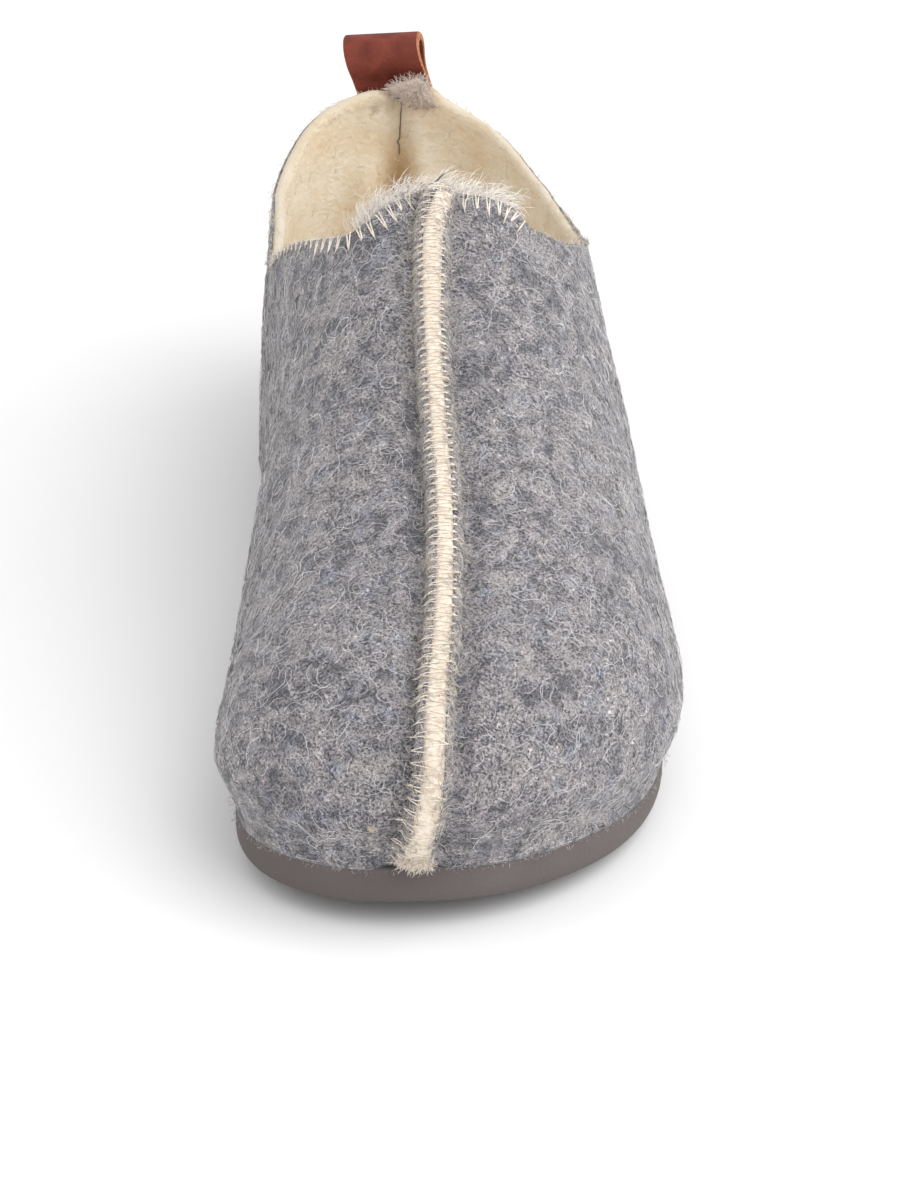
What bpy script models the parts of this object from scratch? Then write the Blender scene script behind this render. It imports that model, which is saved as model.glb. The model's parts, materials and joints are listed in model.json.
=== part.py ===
"""A felt bootie slipper for the left foot: hollow upper with a raised front seam, rubber sole, insole
and a leather pull loop at the heel. Metres, +Z up. The toe points to -Y, and the big toe is at -X."""
import math

import bmesh
import bpy
from mathutils import Vector
from mathutils.bvhtree import BVHTree

# Driving sizes
LENGTH = 0.246
BALL_WIDTH = 0.092
INSTEP_HEIGHT = 0.105
SOLE_THICKNESS = 0.0095
WALL = 0.004
INSOLE_THICKNESS = 0.004
GAP = 0.0003

# Where the foot's axis and the back of the heel lie, so that the whole part is centred on the origin
AXIS_X = -0.0007
HEEL_Y = 0.1197

# Sole: the heel and the forefoot stand on the floor, the arch and the toe are lifted
TOE_SPRING = 0.006
SPRING_START = 0.70
ARCH_RISE = 0.002
ARCH_START = 0.30
ARCH_END = 0.56
SOLE_LEDGE = 0.0006
BOTTOM_INSET = 0.003

# Rounding of the outline's two ends: share of the length, and the exponent of the curve
HEEL_ROUND = (0.16, 2.3)
TOE_ROUND = {-1: (0.17, 2.3), 1: (0.30, 2.2)}

# The upper swells past the sole's edge, and its sections lean from the sole to the ridge of the foot
BULGE = 0.005
BULGE_RISE = 0.015
RIDGE_HEEL = 0.14
RIDGE_TOE = 0.955

# Sections of the last from heel to toe: station as a share of the length; axis, half widths and seam
# as shares of the ball width; crown of the instep height; bulge of BULGE
SECTION_COLUMNS = ("at", "axis", "medial", "lateral", "seam", "crown", "fullness", "bulge")
SECTIONS = (
    (0.00, 0.000, 0.340, 0.35, 0.020, 1.42, 2.3, 0.8),
    (0.15, 0.000, 0.316, 0.35, 0.024, 1.40, 2.6, 0.9),
    (0.32, 0.000, 0.319, 0.39, 0.028, 1.28, 2.6, 1.5),
    (0.45, 0.010, 0.328, 0.43, 0.026, 1.01, 2.4, 1.5),
    (0.60, 0.018, 0.418, 0.467, 0.006, 0.83, 2.2, 1.2),
    (0.75, 0.015, 0.482, 0.51, -0.006, 0.67, 2.1, 1.0),
    (0.88, -0.040, 0.470, 0.56, -0.034, 0.54, 2.2, 1.1),
    (1.00, -0.100, 0.430, 0.58, -0.075, 0.40, 2.2, 0.8),
)

# The collar drawn on the last, from the throat to the heel: turn round the sole's edge, then station
# and share up the section on each side. A felt lobe stands up beside the heel seam on the lateral side.
COLLAR_COLUMNS = ("turn", "medial_at", "medial_up", "lateral_at", "lateral_up")
COLLAR = (
    (0.505, 0.380, 1.000, 0.380, 1.000),
    (0.514, 0.393, 0.925, 0.393, 0.920),
    (0.523, 0.413, 0.826, 0.402, 0.828),
    (0.538, 0.417, 0.725, 0.419, 0.752),
    (0.564, 0.378, 0.550, 0.401, 0.590),
    (0.625, 0.298, 0.305, 0.300, 0.338),
    (0.705, 0.200, 0.245, 0.200, 0.252),
    (0.797, 0.098, 0.226, 0.098, 0.222),
    (0.893, 0.028, 0.280, 0.028, 0.265),
    (0.945, 0.008, 0.298, 0.008, 0.288),
    (0.975, 0.002, 0.304, 0.002, 0.310),
    (1.000, 0.000, 0.300, 0.000, 0.300),
)
SIDE_NAMES = {-1: "medial", 1: "lateral"}
THROAT_TURN = COLLAR[0][0]
THROAT_AT = COLLAR[0][1]
PANEL_SWEEP = 8
PANEL_CROWDING = 1.5

# Raised front seam: it starts a little above the sole, stops just short of the throat's edge and sways
# to the sides of the foot's ridge on its way
SEAM_WIDTH = 0.008
SEAM_HEIGHT = 0.003
SEAM_ROUND = 0.001
SEAM_LIFT = 0.00045
SEAM_START_UP = 0.05
SEAM_END_AT = 0.385
SWAY_COLUMNS = ("share", "sway")
SEAM_SWAY = (
    (0.00, -0.0008),
    (0.05, 0.0006),
    (0.11, 0.0019),
    (0.16, 0.0014),
    (0.23, 0.0005),
    (0.34, 0.0007),
    (0.50, 0.0002),
    (0.66, -0.0008),
    (0.82, -0.0013),
    (0.94, -0.0011),
    (1.00, 0.0004),
)

# Pull loop: a strap's path from its inner to its outer tail, in metres behind the heel's face and
# above the strap's lower end
LOOP_WIDTH = 0.018
LOOP_THICKNESS = 0.002
LOOP_FOOT = 0.056
LOOP_SEAT = 0.020
LOOP_FREE = 0.0240
LOOP_BIGHT = 0.010
LOOP_OFFSET = 0.0062
LOOP_LEAN = 0.31
LOOP_TWIST = 0.15
LOOP_TILT = 0.10
PATH_COLUMNS = ("along", "depth", "rise")
LOOP_PATH = (
    (0.00, 0.0013, 0.0000),
    (0.12, 0.0013, 0.0100),
    (0.25, 0.0014, 0.0200),
    (0.33, 0.0014, 0.0255),
    (0.41, -0.0004, 0.0302),
    (0.46, 0.0012, 0.0332),
    (0.51, 0.0052, 0.0344),
    (0.56, 0.0092, 0.0330),
    (0.64, 0.0108, 0.0280),
    (0.77, 0.0066, 0.0190),
    (0.88, 0.0039, 0.0100),
    (1.00, 0.0037, 0.0000),
)

# Fineness of the faceted surfaces
RIDGE_STEPS = 26
COLLAR_STEPS = 3
UP_STEPS = 14
SOLE_STEPS = 44
SEAM_STEPS = 46
SEAM_ACROSS = 4
LOOP_STEPS = 40
LOOP_ACROSS = 6
WELD = 0.00001


def smooth(table, columns, column, at):
    """Reads a table's column at a place between its rows, on a smooth curve through the rows."""
    value = columns.index(column)
    xs = [row[0] for row in table]
    ys = [row[value] for row in table]
    final = len(xs) - 1
    low = max(0, min(final - 1, sum(x <= at for x in xs) - 1))
    span = xs[low + 1] - xs[low]
    share = (at - xs[low]) / span
    rest = 1 - share

    def slope(row):
        before = max(row - 1, 0)
        after = min(row + 1, final)
        return span * (ys[after] - ys[before]) / (xs[after] - xs[before])

    from_low = ys[low] * (1 + 2 * share) + slope(low) * share
    from_high = ys[low + 1] * (1 + 2 * rest) - slope(low + 1) * rest
    return from_low * rest ** 2 + from_high * share ** 2


def ease(share):
    """0 to 1 with a soft start and a soft end."""
    share = max(0.0, min(1.0, share))
    return share * share * (3 - 2 * share)


def section(column, at):
    return smooth(SECTIONS, SECTION_COLUMNS, column, at)


def end_round(depth, rounding):
    """Share of the width that is left at a depth from one end of the outline."""
    span, exponent = rounding
    reach = max(0.0, 1 - depth / span)
    return max(0.0, 1 - reach ** exponent) ** (1 / exponent)


def along(at):
    """Y of a station: 0 is the back of the heel and 1 the tip of the toe."""
    return HEEL_Y - at * LENGTH


def sole_edge(at, side):
    """X of the sole's outline at a station; side is -1 medial or 1 lateral."""
    ends = end_round(at, HEEL_ROUND) * end_round(1 - at, TOE_ROUND[side])
    width = section(SIDE_NAMES[side], at) * ends
    return AXIS_X + BALL_WIDTH * (section("axis", at) + side * width)


def station(turn):
    """Station of a place round the sole's edge: turn 0 is the toe's tip and 1 the heel's back."""
    return (1 + math.cos(math.pi * turn)) / 2


def outward(at, side):
    """Level direction that points out from the sole's outline."""
    turn = math.acos(2 * at - 1) / math.pi
    step = 0.001
    if turn < step or turn > 1 - step:
        return Vector((0.0, -1.0 if turn < 0.5 else 1.0, 0.0))
    before = station(turn - step)
    after = station(turn + step)
    run = sole_edge(after, side) - sole_edge(before, side)
    return Vector((side * (along(after) - along(before)), -side * run, 0.0)).normalized()


def spring(at):
    """How far the toe's end of the sole is lifted."""
    return TOE_SPRING * max(0.0, (at - SPRING_START) / (1 - SPRING_START)) ** 2


def arch(at):
    """How far the middle of the sole's underside is lifted."""
    share = (at - ARCH_START) / (ARCH_END - ARCH_START)
    return ARCH_RISE * math.sin(math.pi * share) ** 2 if 0 < share < 1 else 0.0


def last_point(at, up, side):
    """A point on the outer face of the upper: up runs from 0 at the sole to 1 at the foot's ridge."""
    foot = Vector((sole_edge(at, side), along(at), spring(at) + SOLE_THICKNESS + GAP))
    top_at = RIDGE_HEEL + (RIDGE_TOE - RIDGE_HEEL) * at
    top = Vector((AXIS_X + BALL_WIDTH * section("seam", top_at), along(top_at),
                  INSTEP_HEIGHT * section("crown", top_at)))
    power = 2 / section("fullness", at)
    angle = up * math.pi / 2
    run = 1 - max(0.0, math.cos(angle)) ** power
    rise = (top.z - foot.z) * math.sin(angle) ** power
    swell = BULGE * section("bulge", at) * ease(rise / BULGE_RISE) * (1 - up ** 4)
    point = foot.lerp(top, run) + outward(at, side) * swell
    point.z = foot.z + rise
    return point


def top_line(turn, side):
    """Station and share up of the upper's top: the ridge as far as the throat, then the collar."""
    if turn <= THROAT_TURN:
        share = (1 - station(turn)) / (1 - station(THROAT_TURN))
        return 1 - (1 - THROAT_AT) * share, 1.0
    name = SIDE_NAMES[side]
    return (smooth(COLLAR, COLLAR_COLUMNS, name + "_at", turn),
            smooth(COLLAR, COLLAR_COLUMNS, name + "_up", turn))


def panel_point(turn, share, side):
    """A point of one half of the upper, from the sole's edge at share 0 to its top line at share 1."""
    base = station(turn)
    top_at, top_up = top_line(turn, side)
    at = base + (top_at - base) * share ** PANEL_SWEEP
    return last_point(max(0.0, min(1.0, at)), top_up * share, side)


def finished(edit, name):
    """Turns an edited mesh into mesh data that is shaded smooth."""
    mesh = bpy.data.meshes.new(name)
    edit.to_mesh(mesh)
    edit.free()
    mesh.shade_smooth()
    return mesh


def sheet(name, grids):
    """An open surface from grids of points, welded where their edges meet."""
    edit = bmesh.new()
    for rows in grids:
        lines = [[edit.verts.new(point) for point in row] for row in rows]
        for low, high in zip(lines, lines[1:]):
            for k in range(len(low) - 1):
                edit.faces.new((low[k], low[k + 1], high[k + 1], high[k]))
    bmesh.ops.remove_doubles(edit, verts=edit.verts, dist=WELD)
    return finished(edit, name)


def plate(name, rings):
    """A closed plate from rings of points, lowest first, each made of pairs across from toe to heel."""
    edit = bmesh.new()
    levels = []
    for ring in rings:
        outline = [left for left, right in ring] + [right for left, right in reversed(ring)]
        levels.append([edit.verts.new(point) for point in outline])
    count = len(levels[0])
    for low, high in zip(levels, levels[1:]):
        for k in range(count):
            edit.faces.new((low[k - 1], high[k - 1], high[k], low[k]))
    bottom = levels[0]
    top = levels[-1]
    for k in range(count // 2 - 1):
        far = count - 1 - k
        edit.faces.new((bottom[k], bottom[k + 1], bottom[far - 1], bottom[far]))
        edit.faces.new((top[far], top[far - 1], top[k + 1], top[k]))
    return finished(edit, name)


def column_turns():
    """Where the upper's columns of faces stand: even on the ridge, and by the collar's rows after it."""
    turns = [THROAT_TURN * step / RIDGE_STEPS for step in range(RIDGE_STEPS)]
    marks = [row[0] for row in COLLAR]
    for start, end in zip(marks, marks[1:]):
        turns += [start + (end - start) * step / COLLAR_STEPS for step in range(COLLAR_STEPS)]
    return turns + [1.0]


def upper_skin():
    """The upper's outer face, both halves welded at the toe, the ridge and the heel."""
    turns = column_turns()
    shares = [(row / UP_STEPS) ** PANEL_CROWDING for row in range(UP_STEPS + 1)]
    medial = [[panel_point(turn, share, -1) for share in shares] for turn in turns]
    lateral = [[panel_point(turn, share, 1) for share in shares] for turn in reversed(turns)]
    return sheet("upper", [medial, lateral])


def sole_ring(inset, height):
    """Pairs of points on the sole's outline drawn in by inset, each at the height of its station."""
    ring = []
    for step in range(SOLE_STEPS):
        at = station((step + 0.5) / SOLE_STEPS)
        pair = []
        for side in (-1, 1):
            edge = Vector((sole_edge(at, side), along(at), height(at)))
            pair.append(edge - outward(at, side) * inset)
        ring.append(pair)
    return ring


def build_outsole():
    """The moulded sole: a flat underside with a lifted arch, a rounded lower edge and upright sides."""
    def level(share):
        def height(at):
            thickness = SOLE_THICKNESS - arch(at)
            return spring(at) + arch(at) + share * thickness
        return height

    rings = [
        sole_ring(SOLE_LEDGE + BOTTOM_INSET, level(0.0)),
        sole_ring(SOLE_LEDGE + BOTTOM_INSET * 0.4, level(0.12)),
        sole_ring(SOLE_LEDGE, level(0.45)),
        sole_ring(SOLE_LEDGE, level(1.0)),
    ]
    return plate("outsole", rings)


def build_insole():
    """The felt footbed, inside the upper's wall and on the sole."""
    inset = WALL + 2 * GAP

    def bottom(at):
        return spring(at) + SOLE_THICKNESS + GAP

    def top(at):
        return bottom(at) + INSOLE_THICKNESS

    return plate("insole", [sole_ring(inset, bottom), sole_ring(inset, top)])


def seam_path():
    """Points of the seam's middle over the upper: up the toe, then along the ridge to the throat."""
    toe = [last_point(1.0, SEAM_START_UP + (1 - SEAM_START_UP) * k / SEAM_STEPS, 1)
           for k in range(SEAM_STEPS)]
    ridge = [last_point(1 - (1 - SEAM_END_AT) * k / SEAM_STEPS, 1.0, 1) for k in range(SEAM_STEPS + 1)]
    fine = toe + ridge
    runs = [0.0]
    for start, end in zip(fine, fine[1:]):
        runs.append(runs[-1] + (end - start).length)
    path = []
    for step in range(SEAM_STEPS + 1):
        run = runs[-1] * step / SEAM_STEPS
        k = max(0, min(len(fine) - 2, sum(value <= run for value in runs) - 1))
        point = fine[k].lerp(fine[k + 1], (run - runs[k]) / (runs[k + 1] - runs[k]))
        point.x += smooth(SEAM_SWAY, SWAY_COLUMNS, "sway", step / SEAM_STEPS)
        path.append(point)
    return path


def build_front_seam(face):
    """The foot of the raised seam as a strip that lies just off the upper's face."""
    path = seam_path()
    rows = []
    for step, centre in enumerate(path):
        ahead = (path[min(step + 1, SEAM_STEPS)] - path[max(step - 1, 0)]).normalized()
        across = Vector((1.0, 0.0, 0.0))
        across = (across - ahead * across.dot(ahead)).normalized()
        out = across.cross(ahead)
        row = []
        for k in range(SEAM_ACROSS + 1):
            start = centre + across * SEAM_WIDTH * (k / SEAM_ACROSS - 0.5) + out * SEAM_WIDTH
            hit = face.ray_cast(start, -out)[0]
            row.append(hit + out * SEAM_LIFT)
        rows.append(row)
    return sheet("front_seam", [rows])


def loop_point(face, across, depth, rise):
    """Sets a point of the strap behind the heel's face, slanted, and twists what stands above the collar."""
    share = ease((rise - LOOP_FREE) / LOOP_BIGHT)
    middle = AXIS_X + LOOP_OFFSET - LOOP_LEAN * rise
    seat_height = LOOP_FOOT + min(rise, LOOP_SEAT)

    def heel_y(x):
        start = Vector((x, HEEL_Y + LENGTH, seat_height))
        return face.ray_cast(start, Vector((0.0, -1.0, 0.0)))[0].y

    curved = heel_y(middle + across)
    seat = curved + (heel_y(middle) - curved) * share
    angle = LOOP_TWIST * share
    x = across * math.cos(angle) + depth * math.sin(angle)
    y = depth * math.cos(angle) - across * math.sin(angle)
    return Vector((middle + x, seat + y, LOOP_FOOT + rise + LOOP_TILT * across * share))


def build_pull_loop(face):
    """The middle of a folded strap: two tails flat on the heel, and a bight standing above."""
    rows = []
    for step in range(LOOP_STEPS + 1):
        share = step / LOOP_STEPS
        depth = smooth(LOOP_PATH, PATH_COLUMNS, "depth", share)
        rise = smooth(LOOP_PATH, PATH_COLUMNS, "rise", share)
        places = [LOOP_WIDTH * (k / LOOP_ACROSS - 0.5) for k in range(LOOP_ACROSS + 1)]
        rows.append([loop_point(face, across, depth, rise) for across in places])
    return sheet("pull_loop", [rows])


def material(name, colour, roughness):
    made = bpy.data.materials.new(name)
    made.use_nodes = True
    shader = made.node_tree.nodes["Principled BSDF"]
    shader.inputs["Base Color"].default_value = (*colour, 1.0)
    shader.inputs["Roughness"].default_value = roughness
    shader.inputs["Metallic"].default_value = 0.0
    return made


def place(mesh, parent, finish):
    """Puts a mesh in the parent's collection as one piece of the slipper."""
    mesh.materials.append(finish)
    piece = bpy.data.objects.new(mesh.name, mesh)
    parent.users_collection[0].objects.link(piece)
    piece.parent = parent
    return piece


def thicken(piece, thickness, offset):
    """Gives a sheet its wall: offset -1 grows it inwards, 1 outwards and 0 both ways."""
    wall = piece.modifiers.new("wall", "SOLIDIFY")
    wall.thickness = thickness
    wall.offset = offset
    wall.use_quality_normals = True


def soften(piece, width):
    """Rounds the long edges of a piece."""
    rounding = piece.modifiers.new("rounding", "BEVEL")
    rounding.width = width
    rounding.segments = 2
    rounding.limit_method = "ANGLE"
    rounding.angle_limit = math.radians(60)


def main():
    for old in list(bpy.data.objects):
        bpy.data.objects.remove(old, do_unlink=True)
    collection = bpy.data.collections.new("bootie_slipper")
    bpy.context.scene.collection.children.link(collection)
    parent = bpy.data.objects.new("slipper_origin", None)
    collection.objects.link(parent)

    grey_felt = material("grey_felt", (0.30, 0.29, 0.295), 0.95)
    cream_felt = material("cream_felt", (0.72, 0.62, 0.50), 0.95)
    rubber = material("rubber", (0.14, 0.12, 0.115), 0.7)
    leather = material("leather", (0.20, 0.06, 0.04), 0.5)

    skin = upper_skin()
    face = BVHTree.FromPolygons([v.co for v in skin.vertices], [p.vertices for p in skin.polygons])
    thicken(place(skin, parent, grey_felt), WALL, -1.0)
    place(build_outsole(), parent, rubber)
    place(build_insole(), parent, cream_felt)
    seam = place(build_front_seam(face), parent, cream_felt)
    thicken(seam, SEAM_HEIGHT, 1.0)
    soften(seam, SEAM_ROUND)
    thicken(place(build_pull_loop(face), parent, leather), LOOP_THICKNESS, 0.0)


main()
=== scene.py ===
"""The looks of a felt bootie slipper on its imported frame: double-faced felt with loose fibres, an overcast
front seam and collar, a brushed wool lining, a moulded sole and a leather pull loop. Metres, +Z up; the
toe points to -Y, and the big toe is at -X."""
import json
import math
from types import SimpleNamespace as Group

import bpy
import numpy as np
from mathutils import Matrix, Vector, noise
from mathutils.bvhtree import BVHTree
from mathutils.kdtree import KDTree


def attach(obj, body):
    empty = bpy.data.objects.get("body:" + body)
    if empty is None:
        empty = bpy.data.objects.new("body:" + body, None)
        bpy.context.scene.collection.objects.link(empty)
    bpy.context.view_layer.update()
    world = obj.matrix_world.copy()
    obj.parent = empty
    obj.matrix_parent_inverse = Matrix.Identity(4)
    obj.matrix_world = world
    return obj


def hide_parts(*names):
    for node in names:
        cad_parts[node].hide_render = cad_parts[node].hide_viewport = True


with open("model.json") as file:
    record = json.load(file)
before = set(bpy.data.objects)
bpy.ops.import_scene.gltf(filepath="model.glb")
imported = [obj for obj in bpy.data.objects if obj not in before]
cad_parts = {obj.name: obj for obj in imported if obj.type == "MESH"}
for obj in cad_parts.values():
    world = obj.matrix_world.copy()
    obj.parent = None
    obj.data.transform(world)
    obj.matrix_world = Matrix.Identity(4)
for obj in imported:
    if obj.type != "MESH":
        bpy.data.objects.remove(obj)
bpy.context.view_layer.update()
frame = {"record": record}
SLOT_COLOURS = {slot["slot"]: slot["base_color"] for slot in frame["record"]["materials"]}


def named(columns, *rows):
    """A table's rows, each a group of values under the columns' names."""
    return [Group(**dict(zip(columns.split(), row))) for row in rows]


# The last, with the same sizes as the solids
LENGTH = 0.246
BALL_WIDTH = 0.092
INSTEP_HEIGHT = 0.105
SOLE_THICKNESS = 0.0095
WALL = 0.004
INSOLE_THICKNESS = 0.004
GAP = 0.0003
AXIS_X = -0.0007
HEEL_Y = 0.1197
TOE_SPRING = 0.006
SPRING_START = 0.70
ARCH_RISE = 0.002
ARCH_START = 0.30
ARCH_END = 0.56
SOLE_LEDGE = 0.0006
BOTTOM_INSET = 0.003
HEEL_ROUND = (0.16, 2.3)
TOE_ROUND = {-1: (0.17, 2.3), 1: (0.30, 2.2)}
BULGE = 0.005
BULGE_RISE = 0.015
BULGE_FADE = 4
RIDGE_HEEL = 0.14
RIDGE_TOE = 0.955

# Sections of the last from heel to toe: station as a share of the length; axis, half widths and seam
# as shares of the ball width; crown of the instep height; bulge of BULGE
SECTION_COLUMNS = ("at", "axis", "medial", "lateral", "seam", "crown", "fullness", "bulge")
SECTIONS = (
    (0.00, 0.000, 0.340, 0.35, 0.020, 1.42, 2.3, 0.8),
    (0.15, 0.000, 0.316, 0.35, 0.024, 1.40, 2.6, 0.9),
    (0.32, 0.000, 0.319, 0.39, 0.028, 1.28, 2.6, 1.5),
    (0.45, 0.010, 0.328, 0.43, 0.026, 1.01, 2.4, 1.5),
    (0.60, 0.018, 0.418, 0.467, 0.006, 0.83, 2.2, 1.2),
    (0.75, 0.015, 0.482, 0.51, -0.006, 0.67, 2.1, 1.0),
    (0.88, -0.040, 0.470, 0.56, -0.034, 0.54, 2.2, 1.1),
    (1.00, -0.100, 0.430, 0.58, -0.075, 0.40, 2.2, 0.8),
)

# The collar drawn on the last, from the throat to the heel: turn round the sole's edge, then station
# and share up the section on each side
COLLAR_COLUMNS = ("turn", "medial_at", "medial_up", "lateral_at", "lateral_up")
COLLAR = (
    (0.505, 0.380, 1.000, 0.380, 1.000),
    (0.514, 0.393, 0.925, 0.393, 0.920),
    (0.523, 0.413, 0.826, 0.402, 0.828),
    (0.538, 0.417, 0.725, 0.419, 0.752),
    (0.564, 0.378, 0.550, 0.401, 0.590),
    (0.625, 0.298, 0.305, 0.300, 0.338),
    (0.705, 0.200, 0.245, 0.200, 0.252),
    (0.797, 0.098, 0.226, 0.098, 0.222),
    (0.893, 0.028, 0.280, 0.028, 0.265),
    (0.945, 0.008, 0.298, 0.008, 0.288),
    (0.975, 0.002, 0.304, 0.002, 0.310),
    (1.000, 0.000, 0.300, 0.000, 0.300),
)
SIDE_NAMES = {-1: "medial", 1: "lateral"}
THROAT_TURN = COLLAR[0][0]
THROAT_AT = COLLAR[0][1]
PANEL_SWEEP = 8
PANEL_CROWDING = 1.5

# Front seam and pull loop, as in the solids
SEAM_WIDTH = 0.008
SEAM_HEIGHT = 0.003
SEAM_FULLNESS = 3
SEAM_START_UP = 0.05
SEAM_END_AT = 0.385
SWAY_COLUMNS = ("share", "sway")
SEAM_SWAY = (
    (0.00, -0.0008),
    (0.05, 0.0006),
    (0.11, 0.0019),
    (0.16, 0.0014),
    (0.23, 0.0005),
    (0.34, 0.0007),
    (0.50, 0.0002),
    (0.66, -0.0008),
    (0.82, -0.0013),
    (0.94, -0.0011),
    (1.00, 0.0004),
)
LOOP_WIDTH = 0.018
LOOP_THICKNESS = 0.002
LOOP_FOOT = 0.056
LOOP_SEAT = 0.020
LOOP_FREE = 0.0240
LOOP_BIGHT = 0.010
LOOP_OFFSET = 0.0062
LOOP_LEAN = 0.31
LOOP_TWIST = 0.15
LOOP_TILT = 0.10
PATH_COLUMNS = ("along", "depth", "rise")
LOOP_PATH = (
    (0.00, 0.0013, 0.0000),
    (0.12, 0.0013, 0.0100),
    (0.25, 0.0014, 0.0200),
    (0.33, 0.0014, 0.0255),
    (0.41, -0.0004, 0.0302),
    (0.46, 0.0012, 0.0332),
    (0.51, 0.0052, 0.0344),
    (0.56, 0.0092, 0.0330),
    (0.64, 0.0108, 0.0280),
    (0.77, 0.0066, 0.0190),
    (0.88, 0.0039, 0.0100),
    (1.00, 0.0037, 0.0000),
)

# Fineness of the dressed surfaces
RIDGE_STEPS = 90
COLLAR_STEPS = 8
UP_STEPS = 50
RIM_STEPS = 6
SOLE_STEPS = 140
SEAM_STEPS = 420
STRIP_STEPS = 7
LOOP_STEPS = 110

# The wall's two layers, grey felt outside and cream wool inside. Their round edges are let into the wall over
# a fade, and the felt's lower edge hangs over the sole's. At the heel the wool's edge stands over the felt's.
FELT_LAYER = 0.0016
RIM_FELT = 0.0005
RIM_FADE = 0.006
HEM_DROP = 0.0007
LAYER_GAP = 0.00005
HEEL_EDGE = Group(rise=0.0011, start=0.055, fade=0.030)

# Soft relief of the felt: thin at the collar, a trough beside the front seam, a line at the heel seam, and
# hollows given as (size, depth)
RIM_THINNING = Group(depth=FELT_LAYER - RIM_FELT, at=0.0, spread=0.0035)
TROUGH = Group(depth=0.0013, at=0.0052, spread=0.0024)
HEEL_SEAM = Group(depth=0.0008, at=0.0, spread=0.0012)
FELT_HOLLOWS = ((0.024, 0.0005), (0.007, 0.0003), (0.0035, 0.00022))

# Soft relief of the lining: hollows, and a groove between two pads that start below the heel's collar. All of
# it fades out towards the footbed, which presses on the lining.
LINING_HOLLOWS = ((0.018, 0.0006), (0.006, 0.0002))
GROOVE = Group(depth=0.0019, at=0.0, spread=0.0024)
PADS = Group(depth=0.0045, at=0.0090, spread=0.0055)
PADS_TOP = 0.010
PADS_FADE = 0.016
BED_PRESS = 0.0004
BED_FADE = 0.018

# Front seam by share from the toe: middle and half width of the cream core, reach of the thread to each side
# and its pitch. Its top end is rounded over the last share of its length.
RIDGE_COLUMNS = ("share", "middle", "core", "left", "right", "pitch")
RIDGE = (
    (0.00, 0.0000, 0.0028, 0.0058, 0.0032, 0.0026),
    (0.12, 0.0000, 0.0023, 0.0052, 0.0030, 0.0025),
    (0.30, 0.0000, 0.0019, 0.0044, 0.0030, 0.0023),
    (0.50, 0.0000, 0.0017, 0.0036, 0.0030, 0.0020),
    (0.75, 0.0000, 0.0018, 0.0033, 0.0030, 0.0019),
    (0.93, 0.0003, 0.0022, 0.0034, 0.0032, 0.0019),
    (1.00, 0.0016, 0.0018, 0.0034, 0.0032, 0.0019),
)
SEAM_STRIPS = ("seam_edge_medial", "seam_core", "seam_edge_lateral")
SEAM_TAPER = 0.014
CORE_KNOT = 0.00014
CORE_KNOT_PITCH = 0.0022
FLANK_ROUGHNESS = 0.0006
FLANK_GRAIN = 0.003

# Sewing thread of the front seam and of the heel seam, which runs between two shares up the heel
THREAD_RADIUS = 0.00012
THREAD_RISE = 0.00018
THREAD_FLOAT = 0.0003
THREAD_SIDES = 5
THREAD_UP = (0.31, 0.17, 0.94)
THREAD_REACH = (0.8, 1.1)
STITCH_POINTS = 9
HEEL_STITCHES = 34
HEEL_STITCHED = (0.12, 0.95)
HEEL_STITCH_REACH = 0.0021
HEEL_STITCH_PLAY = (0.95, 1.05)

# Overcast stitches of the collar, from the lateral to the medial side of the throat, and the thread's way
# round the felt's edge, as depth below the edge and share of the wall
STITCH_PITCH = 0.0027
STITCH_LATERAL = 0.023
STITCH_MEDIAL = 0.072
STITCH_FULL = 0.034
STITCH_FAINT = 0.40
STITCH_REACH = (0.60, 1.1)
STITCH_RADIUS = 0.00019
EDGE_WRAP = named(
    "depth through",
    (0.0060, 0.00),
    (0.0036, 0.00),
    (0.0012, 0.00),
    (0.0002, 0.10),
    (-0.0002, 0.50),
    (0.0002, 0.90),
    (0.0010, 1.00),
    (0.0024, 1.00),
    (0.0036, 1.00),
)

# Strap of the pull loop and the stitches through its tails
STRAP_CORNER = 0.0005
STRAP_CORNER_STEPS = 3
STRAP_STEPS = 8
STRAP_STRIDE = 0.004
STRAP_CUT_EDGE = 0.00045
LOOP_STITCH_INSET = 0.0022
LOOP_STITCH_LOW = 0.0025
LOOP_STITCH_HIGH = 0.0165
LOOP_STITCH_PITCH = 0.0031
LOOP_STITCH_SPACE = 0.15

# Sole: its rounded lower edge, its top edge and the ribs underneath
SOLE_ROUND_STEPS = 7
SOLE_ROUND_RISE = 0.45
SOLE_SHOULDER = 0.94
TREAD_INSET = 0.009
TREAD_DEPTH = 0.0007
TREAD_RIB_STEPS = 2

# Footbed from its lower edge to its crown: inset and share of its thickness
FOOTBED = named(
    "inset share",
    (0.0, 0.0),
    (0.0, 0.75),
    (0.0003, 0.90),
    (0.0010, 0.96),
    (0.004, 0.985),
    (0.012, 1.0),
)

# Seed of all random draws
SEED = 7

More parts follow.
